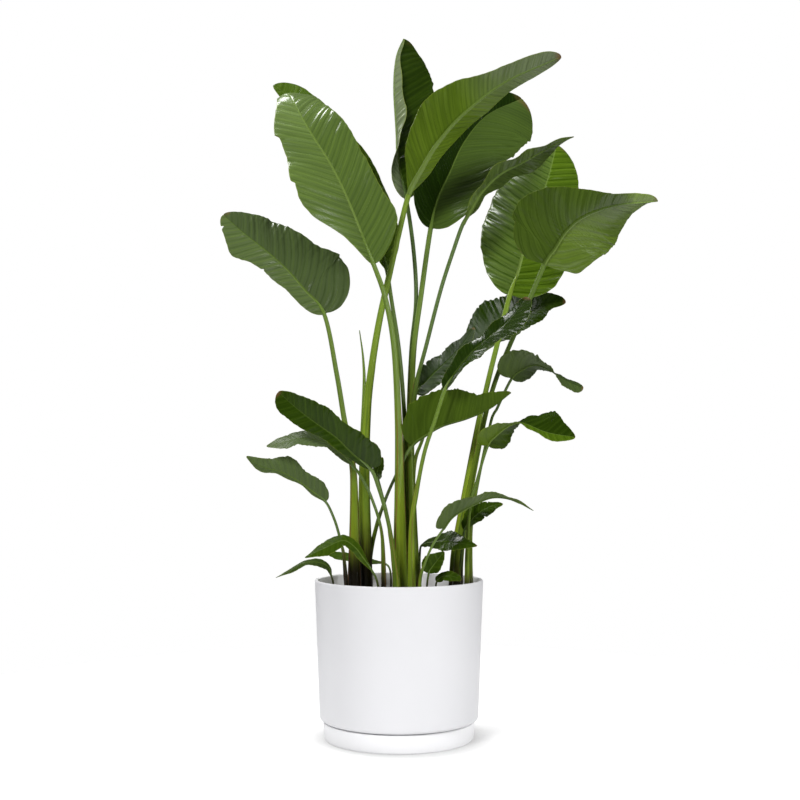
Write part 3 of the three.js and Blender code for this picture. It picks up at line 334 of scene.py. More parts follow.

# The grey on each half of a blade, from 0 for none to about 1.7 for all grey: partly
# the leaf's own waxy bloom and partly painted sheen where light glances off it
BLOOM_AND_SHEEN = {
    "left_spread": (0.8, 0.9), "top_curled": (0.4, 0.4), "front_left": (0.5, 0.4),
    "top_upright": (1.65, 0), "top_broad": (0, 0.3), "low_left_thin": (0.9, 0.9),
    "left_sucker": (0.9, 0.9), "right_fore": (0.15, 0.1), "right_broad": (0.3, 0),
    "right_sucker": (0.45, 0.45), "right_twisted": (0.6, 0.6), "left_seedling": (0.4, 0.4),
}

# What bloom and painted sheen, and what lightness, a blade gains towards its tip
TIPS = {"top_arching": (1.4, 0.1), "right_fore": (0.6, 1.7), "front_left": (0.2, 0.3)}

# How light and yellow each stalk is, on the same scale or a little past it:
# what most stalks have, and the leaves that differ
STALK_TONE = -0.3
STALK_TONES = {
    "front_left": 0.4, "rear_left": -0.1, "top_broad": 0.3, "top_upright": -0.5, "top_curled": -0.5,
    "centre_fore": 0.5, "inner_dark": -0.4, "centre_rear": 0, "low_left": -0.1, "low_left_thin": -0.2,
    "left_spread": 0.35, "low_centre": 0, "top_arching": 1, "right_broad": 1.3, "right_fore": 0.1,
    "right_low": 0, "right_sucker": 0.1,
}

# The leaves whose shine has gone: they take the second, duller blade material
OLD_LEAVES = (
    "low_left", "low_left_thin", "low_centre", "left_sucker", "front_sucker", "right_twisted",
    "right_low", "right_sucker", "centre_rear", "inner_dark", "small_right", "torn_strip",
    "left_seedling", "rear_seedling",
)

# How high the painted near-black shade at a stalk's foot reaches above the soil, where
# shadow falls among the stalks: what most stalks have, and the leaves that differ
DARK_FOOT = 45
DARK_FEET = {
    "left_spread": 100, "top_arching": 120, "left_sucker": 80, "low_left_thin": 60, "front_left": 30,
    "centre_fore": 20, "low_left": 25, "right_broad": 60, "right_fore": 70, "right_sucker": 20,
}

# How far the side veins pleat a blade: what a big leaf and what a smaller one
# has, and the leaves that differ
BIG_PLEAT, SMALLER_PLEAT = 0.7, 0.35
PLEATS = {
    "right_broad": 1.9, "top_broad": 0.55, "front_left": 0.85, "left_spread": 0.8, "right_fore": 0.4,
    "centre_rear": 0.2, "centre_fore": 0.25, "low_left_thin": 0.1,
}

# How close together the side veins lie, against 1 for most blades
VEINS = {"top_broad": 1.7, "top_arching": 1.5, "right_fore": 1.3, "right_broad": 0.9}

# Splits in a margin, as half (0 left, 1 right), share of the length and depth
TEARS = {
    "centre_rear": [(0, 0.3, 0.08), (0, 0.46, 0.12), (0, 0.6, 0.08)],
    "right_low": [(0, 0.3, 0.14), (1, 0.4, 0.1)],
    "left_spread": [(0, 0.52, 0.1), (0, 0.93, 0.25)],
    "right_twisted": [(1, 0.34, 0.16), (1, 0.62, 0.12)],
    "torn_strip": [(0, 0.35, 0.3), (1, 0.5, 0.35), (0, 0.7, 0.3)],
    "inner_dark": [(0, 0.3, 0.2), (0, 0.5, 0.14)],
    "right_broad": [(1, 0.3, 0.05), (1, 0.37, 0.07), (1, 0.45, 0.05)],
}

# Steps in a margin, as half, share of the length and height against the width
STEPS = {
    "front_left": [(0, 0.36, 0.1), (0, 0.58, 0.14)],
    "right_broad": [(1, 0.2, 0.04), (0, 0.24, 0.03)],
    "top_broad": [(1, 0.16, 0.04)],
}


def unit(vectors):
    return vectors / np.linalg.norm(vectors, axis=-1, keepdims=True)


def across_of(vectors, axis):
    """The part of each vector that lies across the axis, at length 1."""
    return unit(vectors - axis * np.sum(vectors * axis, axis=-1, keepdims=True))


def along(values, t):
    """A smooth curve through evenly spaced values, read at t from 0 to 1."""
    values = np.asarray(values, float)
    last = len(values) - 1
    place = np.clip(t, 0, 1) * last
    index = np.minimum(place.astype(int), last - 1)
    w = place - index
    if values.ndim > 1:
        w = w[..., None]
    ends = [2 * values[0] - values[1]], [2 * values[-1] - values[-2]]
    padded = np.concatenate([ends[0], values, ends[1]])
    p0, p1, p2, p3 = (padded[index + step] for step in range(4))
    a = 0.5 * (p2 - p0)
    b = 0.5 * (p3 - p1)
    return (2 * p1 - 2 * p2 + a + b) * w**3 + (3 * p2 - 3 * p1 - 2 * a - b) * w**2 + a * w + p1


class Line:
    """The stretch of a curve between two of its points, read by share of length."""

    def __init__(self, points, first=0, last=None):
        spans = len(points) - 1
        last = spans if last is None else last
        self.points = points
        self.parameters = np.linspace(first / spans, last / spans, SPLINE_STEPS + 1)
        steps = np.linalg.norm(np.diff(along(points, self.parameters), axis=0), axis=1)
        self.lengths = np.concatenate([[0], np.cumsum(steps)])
        self.total = self.lengths[-1]

    def parameter(self, share):
        return np.interp(np.clip(share, 0, 1) * self.total, self.lengths, self.parameters)

    def point(self, share):
        return along(self.points, self.parameter(share))

    def direction(self, share):
        centre = self.parameter(share)
        return unit(along(self.points, centre + 0.001) - along(self.points, centre - 0.001))


def round_end(share):
    """0 at the end itself, 1 once the share is past its length."""
    return np.sqrt(1 - (1 - np.clip(share, 0, 1)) ** 2)


def waver(phase, seed):
    """A smooth wandering value from about -1 to 1 along a phase in turns."""
    shifts = np.random.default_rng(seed).uniform(0, 1, len(OVERTONES))
    waves = zip(OVERTONES, shifts)
    return sum(np.sin(2 * math.pi * (phase * n + shift)) / n**0.5 for n, shift in waves) / 2


def add_object(name, data):
    made = bpy.data.objects.new(name, data)
    bpy.context.scene.collection.objects.link(made)
    return made


def make_object(name, points, faces, values=None):
    """A smooth mesh object from points in millimetres, with named values at its points."""
    mesh = bpy.data.meshes.new(name)
    mesh.from_pydata((np.asarray(points) * MM).tolist(), [], faces)
    for key, numbers in (values or {}).items():
        layer = mesh.attributes.new(key, "FLOAT", "POINT")
        layer.data.foreach_set("value", np.broadcast_to(numbers, len(points)).astype(np.float32))
    mesh.shade_smooth()
    mesh.update()
    return add_object(name, mesh)


def stand_for(piece, node, material):
    """Puts the piece in the part in the place of a CAD node."""
    piece.data.materials.append(material)
    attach(piece, "root")
    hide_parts(node)


def grid_faces(rows, columns, first=0, flip=False, closed=False):
    """Quads between neighbouring rows of points; a closed grid joins its last column to its first."""
    start = np.arange(rows - 1)[:, None] * columns
    step = np.arange(columns if closed else columns - 1)[None, :]
    after = (step + 1) % columns
    corners = [start + step, start + after, start + columns + after, start + columns + step]
    if flip:
        corners.reverse()
    return (np.stack(corners, axis=-1).reshape(-1, 4) + first).tolist()


# Leaf blades

BASE_ROUNDING = 0.13    # share of the length over which the base rounds off
TEAR_RUN = 0.007        # half the share of the length that a split takes
STEP_RISE = 0.012       # share of the length over which a step in the margin rises
STEP_FADE = 0.09        # and over which it eases off
RIB_TAPER = 0.8         # how much thinner the rib is at the tip
LEAST_WIDTH = 1.1       # of a half, in radii of the rib
RIB_REACH = 1.4         # how far out the rib's own columns run, in radii of the rib
RIDGE_REACH, RIDGE_HEIGHT = 0.85, 1.1    # the rib below the sheet, in its radii
GUTTER_REACH, GUTTER_DEPTH = 0.5, 0.3    # the groove above it, in the same
MOST_RIB = 0.45         # the most of a half's width that the rib's columns take
STEM_REACH = 1.76       # how far from the middle the stalk beneath a lobe reaches, in rib radii
STEM_EASE = 30          # and how far beyond it the lobe is at its full length
HALF_SHIFT = 0.37       # how far the right half's waves run ahead of the left's, in waves
LOBE_RUN = 0.35         # share of the length over which the base lobe eases off
SWEEP = 0.15            # how far the margin leans towards the tip, of the width
VEIN_SPACING = 15       # from one main side vein to the next
PLEAT_DEPTH = 0.75      # height of the soft pleat between two main side veins
PLEAT_DRIFT = 0.22      # how far pleats wander from an even spacing, in spacings
# The lengths over which that drift, the pleats' depth and the ripples waver
DRIFT_RUN, DEPTH_RUN, RIPPLE_RUN = 90, 70, 38
TIP_CALM = 0.25         # share of the length over which relief fades to the tip
MARGIN_CALM = 8         # and how far from the margin it starts to fade
# How far a side vein runs towards the tip, of its way out, for the left and the
# right half: what most leaves have, and the leaves that differ
VEIN_SLANT = (0.52, 0.52)
VEIN_SLANTS = {"front_left": (0.6, 0.8), "right_broad": (0.4, 0.4), "right_fore": (0.7, 0.5)}
# By size of leaf: how far the margin wavers and frills, as shares of the half's
# width, and the height of the ripples on the sheet
RAGGEDNESS = {"big": 0.014, "mid": 0.03, "small": 0.05}
FRILLS = {"big": 0.02, "mid": 0.045, "small": 0.06}
RIPPLE = {"big": 1.3, "mid": 0.35, "small": 0.3}


def half_width(leaf, half, t):
    """Width of one half of the blade, with its split margin."""
    ends = round_end((t + 0.002) / BASE_ROUNDING) * round_end((1.0006 - t) / leaf["tip"])
    width = along(leaf["half"][half], t) * ends
    width = width * (1 + RAGGEDNESS[leaf["size"]] * waver(5 * t, SEED + half + len(leaf["name"])))
    for side, place, depth in TEARS.get(leaf["name"], []):
        if side == half:
            width = width * (1 - depth * np.exp(-(((t - place) / TEAR_RUN) ** 2)))
    for side, place, height in STEPS.get(leaf["name"], []):
        if side == half:
            beyond = np.clip(t - place, 0, 1)
            rise = np.clip(beyond / STEP_RISE, 0, 1)
            width = width * (1 + height * rise * np.exp(-beyond / STEP_FADE))
    # The sheet covers the rib, but for the very tip
    least = LEAST_WIDTH * leaf["radii"][2] * (1 - RIB_TAPER * t)
    return np.maximum(width, least * np.clip((1 - t) / 0.02, 0.15, 1))


def half_sheet(leaf, line, t, half, fineness):
    """Points of one half of the middle sheet, from the rib to the margin."""
    direction = line.direction(t)
    up = across_of(along(leaf["face"], t), direction)
    right = np.cross(direction, up)
    width = half_width(leaf, half, t)
    rib_radius = leaf["radii"][2] * (1 - RIB_TAPER * t)
    inner = np.minimum(RIB_REACH * rib_radius / width, MOST_RIB)
    rib_share = np.linspace(0, 1, fineness["rib_columns"] + 1)[:-1]
    # The columns lie a little closer towards the margin
    outer_share = np.sin(np.linspace(0, 1, fineness["columns"] + 1) * math.pi / 2)
    outer_share = 0.55 * outer_share + 0.45 * np.linspace(0, 1, fineness["columns"] + 1)
    outer = inner[:, None] + (1 - inner[:, None]) * outer_share
    reach = np.concatenate([inner[:, None] * rib_share, outer], axis=1)
    fold = np.radians(along(leaf.get("fold", FLAT)[half], t))[:, None]
    curl = np.radians(along(leaf.get("curl", FLAT)[half], t))[:, None]
    curl = np.where(np.abs(curl) < 0.001, 0.001, curl)
    wide = width[:, None]
    outward = wide * (np.sin(fold + curl * reach) - np.sin(fold)) / curl
    lift = wide * (np.cos(fold) - np.cos(fold + curl * reach)) / curl
    height, count, phase = leaf["wave"]
    swell = np.sqrt(np.maximum(np.sin(math.pi * t), 0))
    turn = 2 * math.pi * (count * t + phase + HALF_SHIFT * half)
    lift = lift + height * reach**2 * (swell * np.sin(turn))[:, None]
    frill = FRILLS[leaf["size"]] * wide * reach**3 * swell[:, None]
    lift = lift + frill * waver(6 * t, SEED + 5 * half + len(leaf["name"]))[:, None]
    # The lobe leaves room for the stalk beneath it
    beyond_stem = np.clip((wide * reach - STEM_REACH * leaf["radii"][2]) / STEM_EASE, 0, 1)
    lobe = leaf["lobe"] * (np.clip(1 - t / LOBE_RUN, 0, 1) ** 2)[:, None] * beyond_stem
    sweep = SWEEP * wide * reach**1.5 * np.clip(t / LOBE_RUN, 0, 1)[:, None]
    sign = 1 if half else -1
    points = (
        line.point(t)[:, None, :]
        + right[:, None, :] * (sign * outward)[..., None]
        + up[:, None, :] * lift[..., None]
        + direction[:, None, :] * (sweep - lobe)[..., None]
    )
    return points, wide * reach, wide * (1 - reach), rib_radius


def blade(leaf, line):
    """A closed leaf blade with a grooved rib, side veins and a thin margin."""
    fineness = FINENESS[leaf["size"]]
    # The rows lie a little closer towards both ends
    share = np.linspace(0, 1, fineness["rows"])
    share = 0.75 * share + 0.25 * (1 - np.cos(math.pi * share)) / 2
    t = CLEARANCE / line.total + share * (1 - CLEARANCE / line.total)
    halves = [half_sheet(leaf, line, t, half, fineness) for half in (0, 1)]

    def both(index):
        left, right = halves[0][index], halves[1][index]
        return np.concatenate([left[:, :0:-1], right], axis=1)

    sheet, out, edge = both(0), both(1), both(2)
    rib = halves[0][3][:, None]
    ahead = np.gradient(sheet, axis=0)
    aside = np.gradient(sheet, axis=1)
    normal = unit(np.cross(aside, ahead))
    rows, columns = out.shape
    side = np.sign(np.arange(columns) - columns // 2) * np.ones((rows, 1))
    left_slant, right_slant = VEIN_SLANTS.get(leaf["name"], VEIN_SLANT)
    slant = np.where(side < 0, left_slant, right_slant)
    vein = (t[:, None] * line.total - slant * out) * VEINS.get(leaf["name"], 1)
    clear_of_rib = 1 - np.exp(-((out / (1.6 * rib)) ** 2))
    calm = np.clip(edge / MARGIN_CALM, 0, 1) * np.clip((1 - t[:, None]) / TIP_CALM, 0.15, 1)
    drift = PLEAT_DRIFT * waver(vein / DRIFT_RUN, SEED + 3)
    pleat_share = PLEATS.get(leaf["name"], BIG_PLEAT if leaf["size"] == "big" else SMALLER_PLEAT)
    pleat = PLEAT_DEPTH * pleat_share * clear_of_rib * calm
    pleat = pleat * np.cos(2 * math.pi * (vein / VEIN_SPACING + drift))
    pleat = pleat * (0.75 + 0.35 * waver(vein / DEPTH_RUN, SEED))
    ripple = RIPPLE[leaf["size"]] * clear_of_rib * calm * waver(vein / RIPPLE_RUN + side, SEED + 9)
    sheet = sheet + normal * (pleat + ripple)[..., None]
    thickness = MARGIN_THICKNESS + (BLADE_THICKNESS - MARGIN_THICKNESS) * np.clip(edge / MARGIN_RUN, 0, 1)
    hump = np.sqrt(np.maximum(1 - (out / (RIDGE_REACH * rib)) ** 2, 0))
    groove = np.exp(-((out / (GUTTER_REACH * rib)) ** 2))
    ridge = RIDGE_HEIGHT * rib * hump
    top = sheet + normal * (thickness / 2 - GUTTER_DEPTH * rib * groove)[..., None]
    bottom = sheet - normal * (thickness / 2 + ridge)[..., None]
    count = rows * columns
    index = np.arange(count).reshape(rows, columns)
    rim = np.concatenate([index[0, ::-1], index[1:, 0], index[-1, 1:], index[-2:0:-1, -1]])
    turned = np.roll(rim, -1)
    walls = np.stack([rim, turned, turned + count, rim + count], axis=-1).tolist()
    faces = grid_faces(rows, columns) + grid_faces(rows, columns, count, flip=True) + walls
    length = t[:, None] + 0 * out
    values = {"vein": vein, "out": out * side, "edge": edge, "rib": out / rib, "length": length}
    doubled = {key: np.tile(numbers.ravel(), 2) for key, numbers in values.items()}
    doubled["under"] = np.repeat([0.0, 1.0], count)
    # A half's tone is partly the leaf's age and partly painted shade where the half lies in shadow
    left_tone, right_tone = TONES_AND_PAINTED_SHADE[leaf["name"]]
    # The grey bloom is partly the leaf's own and partly painted sheen
    left_bloom_and_sheen, right_bloom_and_sheen = BLOOM_AND_SHEEN.get(leaf["name"], (0, 0))
    tip_bloom_and_sheen, tip_tone = TIPS.get(leaf["name"], (0, 0))
    far = np.clip((t[:, None] - 0.5) / 0.35, 0, 1)
    tone = np.where(side < 0, left_tone, right_tone) + tip_tone * far**6
    bloom_and_sheen = np.where(side < 0, left_bloom_and_sheen, right_bloom_and_sheen) + tip_bloom_and_sheen * far
    doubled["tone"] = np.tile(np.clip(tone, -1, 1).ravel(), 2)
    doubled["bloom_and_sheen"] = np.tile(bloom_and_sheen.ravel(), 2)
    doubled["pleat"] = pleat_share
    # Each blade reads its own stretch of the noise
    doubled["seed"] = list(TONES_AND_PAINTED_SHADE).index(leaf["name"]) * SEED_STEP
    points = np.concatenate([top.reshape(-1, 3), bottom.reshape(-1, 3)])
    return make_object(leaf["name"] + "_leaf_blade", points, faces, doubled)


# Leaf stalks

SHEATH_SHARE = 0.62     # how much of a stalk is the clasping sheath
SHEATH_EASE = 1.4       # how fast the sheath widens towards the foot
RIB_RUN = 0.13          # how far the stalk runs out over the rib, of the rib's length
RIB_RINGS = 9           # rings on that run
LIP_HEIGHT = 1.1        # how far the sheath's papery margin stands up
LIP_SPREAD = 0.022      # its breadth, as a share of a turn
GROOVE_DEPTH = 0.22     # of the stalk's radius
GROOVE_SPREAD = 0.09    # as a share of a turn


def stalk_radius(radii, share):
    foot, petiole, rib = radii
    sheath = np.clip(1 - share / SHEATH_SHARE, 0, 1) ** SHEATH_EASE
    return rib + (petiole - rib) * (1 - share) + (foot - petiole) * sheath


def tube_faces(rings, sides):
    """Sides of a tube of rings, with a flat end at each end."""
    faces = grid_faces(rings, sides, closed=True)
    faces.append(list(range(sides))[::-1])
    faces.append([(rings - 1) * sides + side for side in range(sides)])
    return faces


def tube(name, line, centre, direction, facing, share, turn, profile, **values):
    """A tube with a ring at each centre, and the values that the stalk material reads."""
    front = across_of(np.broadcast_to(facing, centre.shape), direction)
    right = np.cross(front, direction)
    angle = 2 * math.pi * turn
    points = (
        centre[:, None, :]
        + front[:, None, :] * (profile * np.cos(angle))[..., None]
        + right[:, None, :] * (profile * np.sin(angle))[..., None]
    )
    run = share[:, None] * line.total
    height = points[..., 2] - SOIL_TOP
    values.update(length=share[:, None], height=height, turn=turn, run=run)
    flat = {key: np.broadcast_to(numbers, profile.shape).ravel() for key, numbers in values.items()}
    return make_object(name, points.reshape(-1, 3), tube_faces(*profile.shape), flat)


def stalk(leaf, line, rib_line):
    """A grooved stalk whose foot is a sheath with papery margins, and whose top eases into the rib."""
    fineness = FINENESS[leaf["size"]]
    sides = fineness["sides"]
    share = np.linspace(0, 1, fineness["rings"])
    run = np.linspace(0, 1, RIB_RINGS + 1)[1:]
    centre = np.concatenate([line.point(share), rib_line.point(run * RIB_RUN)])
    direction = np.concatenate([line.direction(share), rib_line.direction(run * RIB_RUN)])
    radius = np.concatenate([stalk_radius(leaf["radii"], share), leaf["radii"][2] * (1 - run) ** 0.6])
    share = np.concatenate([share, 1 + 0 * run])
    fade = np.concatenate([np.ones(fineness["rings"]), 1 - run])
    turn = np.linspace(-0.5, 0.5, sides, endpoint=False)[None, :]
    sheath = np.clip(1 - share / SHEATH_SHARE, 0, 1)[:, None]
    wander = 0.006 * waver(share * 2, SEED + len(leaf["name"]))[:, None]
    lip_turn = 0.1 + 0.1 * sheath + wander
    lip = np.exp(-(((np.abs(turn) - lip_turn) / LIP_SPREAD) ** 2)) * np.clip(sheath / 0.06, 0, 1)
    groove = GROOVE_DEPTH * np.exp(-((turn / GROOVE_SPREAD) ** 2)) * fade[:, None]
    ribs = 0.012 * np.cos(2 * math.pi * turn * sides / 3) * (1 - np.exp(-((turn / 0.15) ** 2)))
    profile = np.maximum(radius[:, None] * (1 - groove + ribs) + LIP_HEIGHT * lip, 0.2)
    return tube(
        leaf["name"] + "_leaf_stalk", line, centre, direction, leaf["face"][0], share, turn, profile,
        lip=lip, tone=STALK_TONES.get(leaf["name"], STALK_TONE), foot=DARK_FEET.get(leaf["name"], DARK_FOOT),
    )


def new_leaf():
    """The rolled new leaf: a spear wound from one edge, with the winding's step down its side."""
    line = Line(SPEAR["path"])
    share = np.linspace(0, 1, SPEAR["rings"])
    turn = np.linspace(0, 1, SPEAR["sides"], endpoint=False)[None, :]
    wound = (turn + 0.9 * share[:, None]) % 1
    radius = along(SPEAR["radii"], share)[:, None]
    profile = radius * (0.9 + 0.1 * wound - 0.06 * np.exp(-(((wound - 1) / 0.03) ** 2)))
    return tube(
        "new_leaf_spear", line, line.point(share), line.direction(share), [0.3, -1.0, 0.0], share, turn,
        profile, lip=np.exp(-((wound - 1) / 0.05) ** 2) * 0.5, tone=0.6, foot=20,
    )


# Pot, saucer and soil

def ring_points(radius, height):
    """Points around the Z axis, from +X towards +Y."""
    angles = np.linspace(0, 2 * math.pi, ROUND_SEGMENTS, endpoint=False)
    return [[radius * math.cos(a), radius * math.sin(a), height] for a in angles]


def revolve(profile):
    """Points and faces of a round solid, from [radius, height] pairs that close or end on the axis."""
    points = []
    starts = []
    for radius, height in profile:
        starts.append(len(points))
        points.extend(ring_points(radius, height) if radius else [[0, 0, height]])
    faces = []
    for ring in range(len(profile) - 1):
        low, high = starts[ring], starts[ring + 1]
        for step in range(ROUND_SEGMENTS):
            after = (step + 1) % ROUND_SEGMENTS
            if profile[ring][0] == 0:
                faces.append([low, high + after, high + step])
            elif profile[ring + 1][0] == 0:
                faces.append([low + step, low + after, high])
            else:
                faces.append([low + step, low + after, high + after, high + step])
    return points, faces


def arc(radius, height, bend, from_degrees, to_degrees, steps):
    turns = [math.radians(from_degrees + (to_degrees - from_degrees) * k / steps) for k in range(steps + 1)]
    return [[radius + bend * math.cos(a), height + bend * math.sin(a)] for a in turns]


def straight(start, end, steps):
    """Points on a straight wall between two profile points, both left out."""
    shares = [k / steps for k in range(1, steps)]
    return [[start[0] + (end[0] - start[0]) * s, start[1] + (end[1] - start[1]) * s] for s in shares]


def saucer():
    lip = SAUCER_WALL / 2
    inside = SAUCER_RADIUS - SAUCER_WALL
    profile = [
        [0, 0],
        [SAUCER_RADIUS - 30, 0],
        *arc(SAUCER_RADIUS - 6, SAUCER_BEND, SAUCER_BEND, -90, -10, 8),
        *arc(SAUCER_RADIUS - lip, SAUCER_HEIGHT - lip, lip, 0, 180, 12),
        *arc(inside - 4, SAUCER_FLOOR + 3, 3, 0, -90, 6),
        [0, SAUCER_FLOOR],
    ]
    points, faces = revolve(profile)
    return make_object("saucer_tray", points, faces)


FOOT_BEND = 5           # rounding of the pot's foot
STEP_BEND = 7           # and of the step in its wall
SAUCER_BEND = 4         # rounding at the saucer's underside
SOIL_RINGS = 74
SOIL_DIP = 3            # how far the soil's edge lies under its nominal top
SOIL_BORDER = 6         # how far from its edge the bumps ease off
HIGHEST_BUMP = 7
SOIL_BUMPS = ((34, 2.2, 60), (13, 2.4, 420), (6, 1.6, 1500))  # width, height and count
# Crumbs, bark and white grains: count, size, flatness and paleness
CRUMBS = ((520, 2.6, 1.0, 0.0), (110, 6.5, 0.5, 0.4), (70, 1.9, 1.0, 1.0))
CRUMB_REACH = 140       # how far from the middle they lie at most
FOOT_INSIDE_SAUCER = SAUCER_RADIUS - SAUCER_WALL - 1.5
POT_BOTTOM = SAUCER_FLOOR + CLEARANCE
POT_FLOOR_TOP = POT_BOTTOM + POT_FLOOR
LIP = POT_WALL / 2


def pot():
    inner = FOOT_INSIDE_SAUCER - POT_WALL
    wall_foot = POT_STEP_HEIGHT + STEP_BEND
    profile = [
        [DRAIN_RADIUS, POT_BOTTOM],
        *arc(FOOT_INSIDE_SAUCER - FOOT_BEND, POT_BOTTOM + FOOT_BEND, FOOT_BEND, -90, 0, 6),
        [FOOT_INSIDE_SAUCER, POT_STEP_HEIGHT],
        *arc(POT_FOOT_RADIUS - STEP_BEND, wall_foot, STEP_BEND, -90, 0, 10),
        *straight((POT_FOOT_RADIUS, wall_foot), (POT_RIM_RADIUS, POT_HEIGHT - LIP), 24),
        *arc(POT_RIM_RADIUS - LIP, POT_HEIGHT - LIP, LIP, 0, 180, 12),
        *arc(POT_FOOT_RADIUS - POT_WALL - STEP_BEND, POT_WALL + wall_foot, STEP_BEND, 0, -90, 4),
        [inner, POT_STEP_HEIGHT + POT_WALL - 4],
        [inner, POT_FLOOR_TOP],
        [DRAIN_RADIUS, POT_FLOOR_TOP],
        [DRAIN_RADIUS, POT_BOTTOM],
    ]
    points, faces = revolve(profile)
    # Rings past the top of the rim are the inside, which the material paints lighter to offset its shade
    top = max(range(len(profile)), key=lambda ring: profile[ring][1])
    inside = np.repeat([float(ring > top) for ring in range(len(profile))], ROUND_SEGMENTS)
    return make_object("pot_shell", points, faces, {"inside": inside})


def soil():
    """Potting soil with a crumbly top; the larger crumbs and bark are joined to it afterwards."""
    low = FOOT_INSIDE_SAUCER - POT_WALL - CLEARANCE
    ledge = POT_STEP_HEIGHT + POT_WALL
    wide = POT_FOOT_RADIUS - POT_WALL - CLEARANCE
    slope = (POT_RIM_RADIUS - POT_FOOT_RADIUS) / (POT_HEIGHT - LIP - ledge)
    edge = wide + slope * (SOIL_TOP - ledge - POT_WALL) - CLEARANCE
    rings, sides = SOIL_RINGS, ROUND_SEGMENTS
    radius = edge * np.linspace(1, 0, rings)[:-1, None]
    angle = np.linspace(0, 2 * math.pi, sides, endpoint=False)[None, :]
    x, y = radius * np.cos(angle), radius * np.sin(angle)
    random = np.random.default_rng(SEED)
    bumps = np.zeros_like(x)
    for size, height, count in SOIL_BUMPS:
        places = random.uniform(-edge, edge, (count, 2))
        heights = random.uniform(0.2, 1, count) * height
        for (px, py), rise in zip(places, heights):
            near = (np.abs(x - px) < size) & (np.abs(y - py) < size)
            distance = (x[near] - px) ** 2 + (y[near] - py) ** 2
            bumps[near] += rise * np.clip(1 - distance / (size / 2) ** 2, 0, 1) ** 0.7 * 0.6
    crown = SOIL_CROWN * np.clip((edge - radius) / (0.4 * edge), 0, 1) - SOIL_DIP
    border = np.clip((edge - radius) / SOIL_BORDER, 0.1, 1)
    z = SOIL_TOP + crown + np.minimum(bumps, HIGHEST_BUMP) * border
    top = np.stack([x, y, z], axis=-1).reshape(-1, 3)
    skirt_profile = [
        [edge, SOIL_TOP - 6],
        [wide, ledge + POT_WALL + CLEARANCE],
        [wide - POT_WALL, ledge + CLEARANCE],
        [low, ledge + CLEARANCE],
        [low, POT_FLOOR_TOP + CLEARANCE],
    ]
    skirt = [point for level in skirt_profile for point in ring_points(*level)]
    last_ring = (rings - 2) * sides
    centre = len(top)
    points = np.concatenate([top, [[0, 0, SOIL_TOP + SOIL_CROWN - 2]], skirt])
    faces = grid_faces(rings - 1, sides, closed=True)
    faces += [[last_ring + k, last_ring + (k + 1) % sides, centre] for k in range(sides)]
    wall = grid_faces(len(skirt_profile), sides, centre + 1, flip=True, closed=True)
    join = [[k, centre + 1 + k, centre + 1 + (k + 1) % sides, (k + 1) % sides] for k in range(sides)]
    floor_ring = centre + 1 + (len(skirt_profile) - 1) * sides
    faces += wall + join + [[floor_ring + k for k in range(sides)][::-1]]
    return make_object("potting_soil", points, faces)


def scatter_crumbs(ground):
    """Crumbs, bark and a few white grains, resting on the soil and joined to its mesh."""
    random = np.random.default_rng(SEED + 1)
    build = bpy.data.meshes.new("crumbs")
    points = []
    faces = []
    grains = []
    corners = 0.62 * np.array([[-1, -1, -1], [1, -1, -1], [1, 1, -1], [-1, 1, -1]])
    middle = [[-1, 0, 0], [0, -1, 0], [1, 0, 0], [0, 1, 0]]
    shell = np.concatenate([corners, middle, corners * [1, 1, -1]])
    bottom, belt, lid = range(0, 4), range(4, 8), range(8, 12)
    shape = [[0, 3, 2, 1], [8, 9, 10, 11]]
    for k in range(4):
        after = (k + 1) % 4
        shape.append([bottom[k], bottom[after], belt[after]])
        shape.append([lid[after], lid[k], belt[after]])
        shape.append([bottom[k], belt[after], lid[k], belt[k]])
    for count, size, flatness, pale in CRUMBS:
        for _ in range(count):
            reach = CRUMB_REACH * math.sqrt(random.uniform())
            turn = random.uniform(0, 2 * math.pi)
            x, y = reach * math.cos(turn), reach * math.sin(turn)
            hit, place, _, _ = ground.ray_cast((x * MM, y * MM, 1), (0, 0, -1))
            if not hit:
                continue
            scale = size * random.uniform(0.5, 1.2) * np.array([1, random.uniform(0.5, 1), flatness * 0.8])
            rough = shell * (1 + random.uniform(-0.22, 0.22, shell.shape)) * scale
            spin = np.array(Euler(random.uniform(-0.5, 0.5, 3) + [0, 0, turn * 5]).to_matrix())
            lifted = np.array(place) / MM + [0, 0, 0.25 * scale[2]]
            faces.extend([[corner_index + len(points) for corner_index in face] for face in shape])
            points.extend((rough @ spin.T + lifted).tolist())
            grains.extend([pale] * len(shell))
    build.from_pydata((np.array(points) * MM).tolist(), [], faces)
    layer = build.attributes.new("grain", "FLOAT", "POINT")
    layer.data.foreach_set("value", np.array(grains, np.float32))
    made = add_object("crumbs", build)
    with bpy.context.temp_override(
        active_object=ground, selected_editable_objects=[ground, made], selected_objects=[ground, made]
    ):
        bpy.ops.object.join()


# Materials

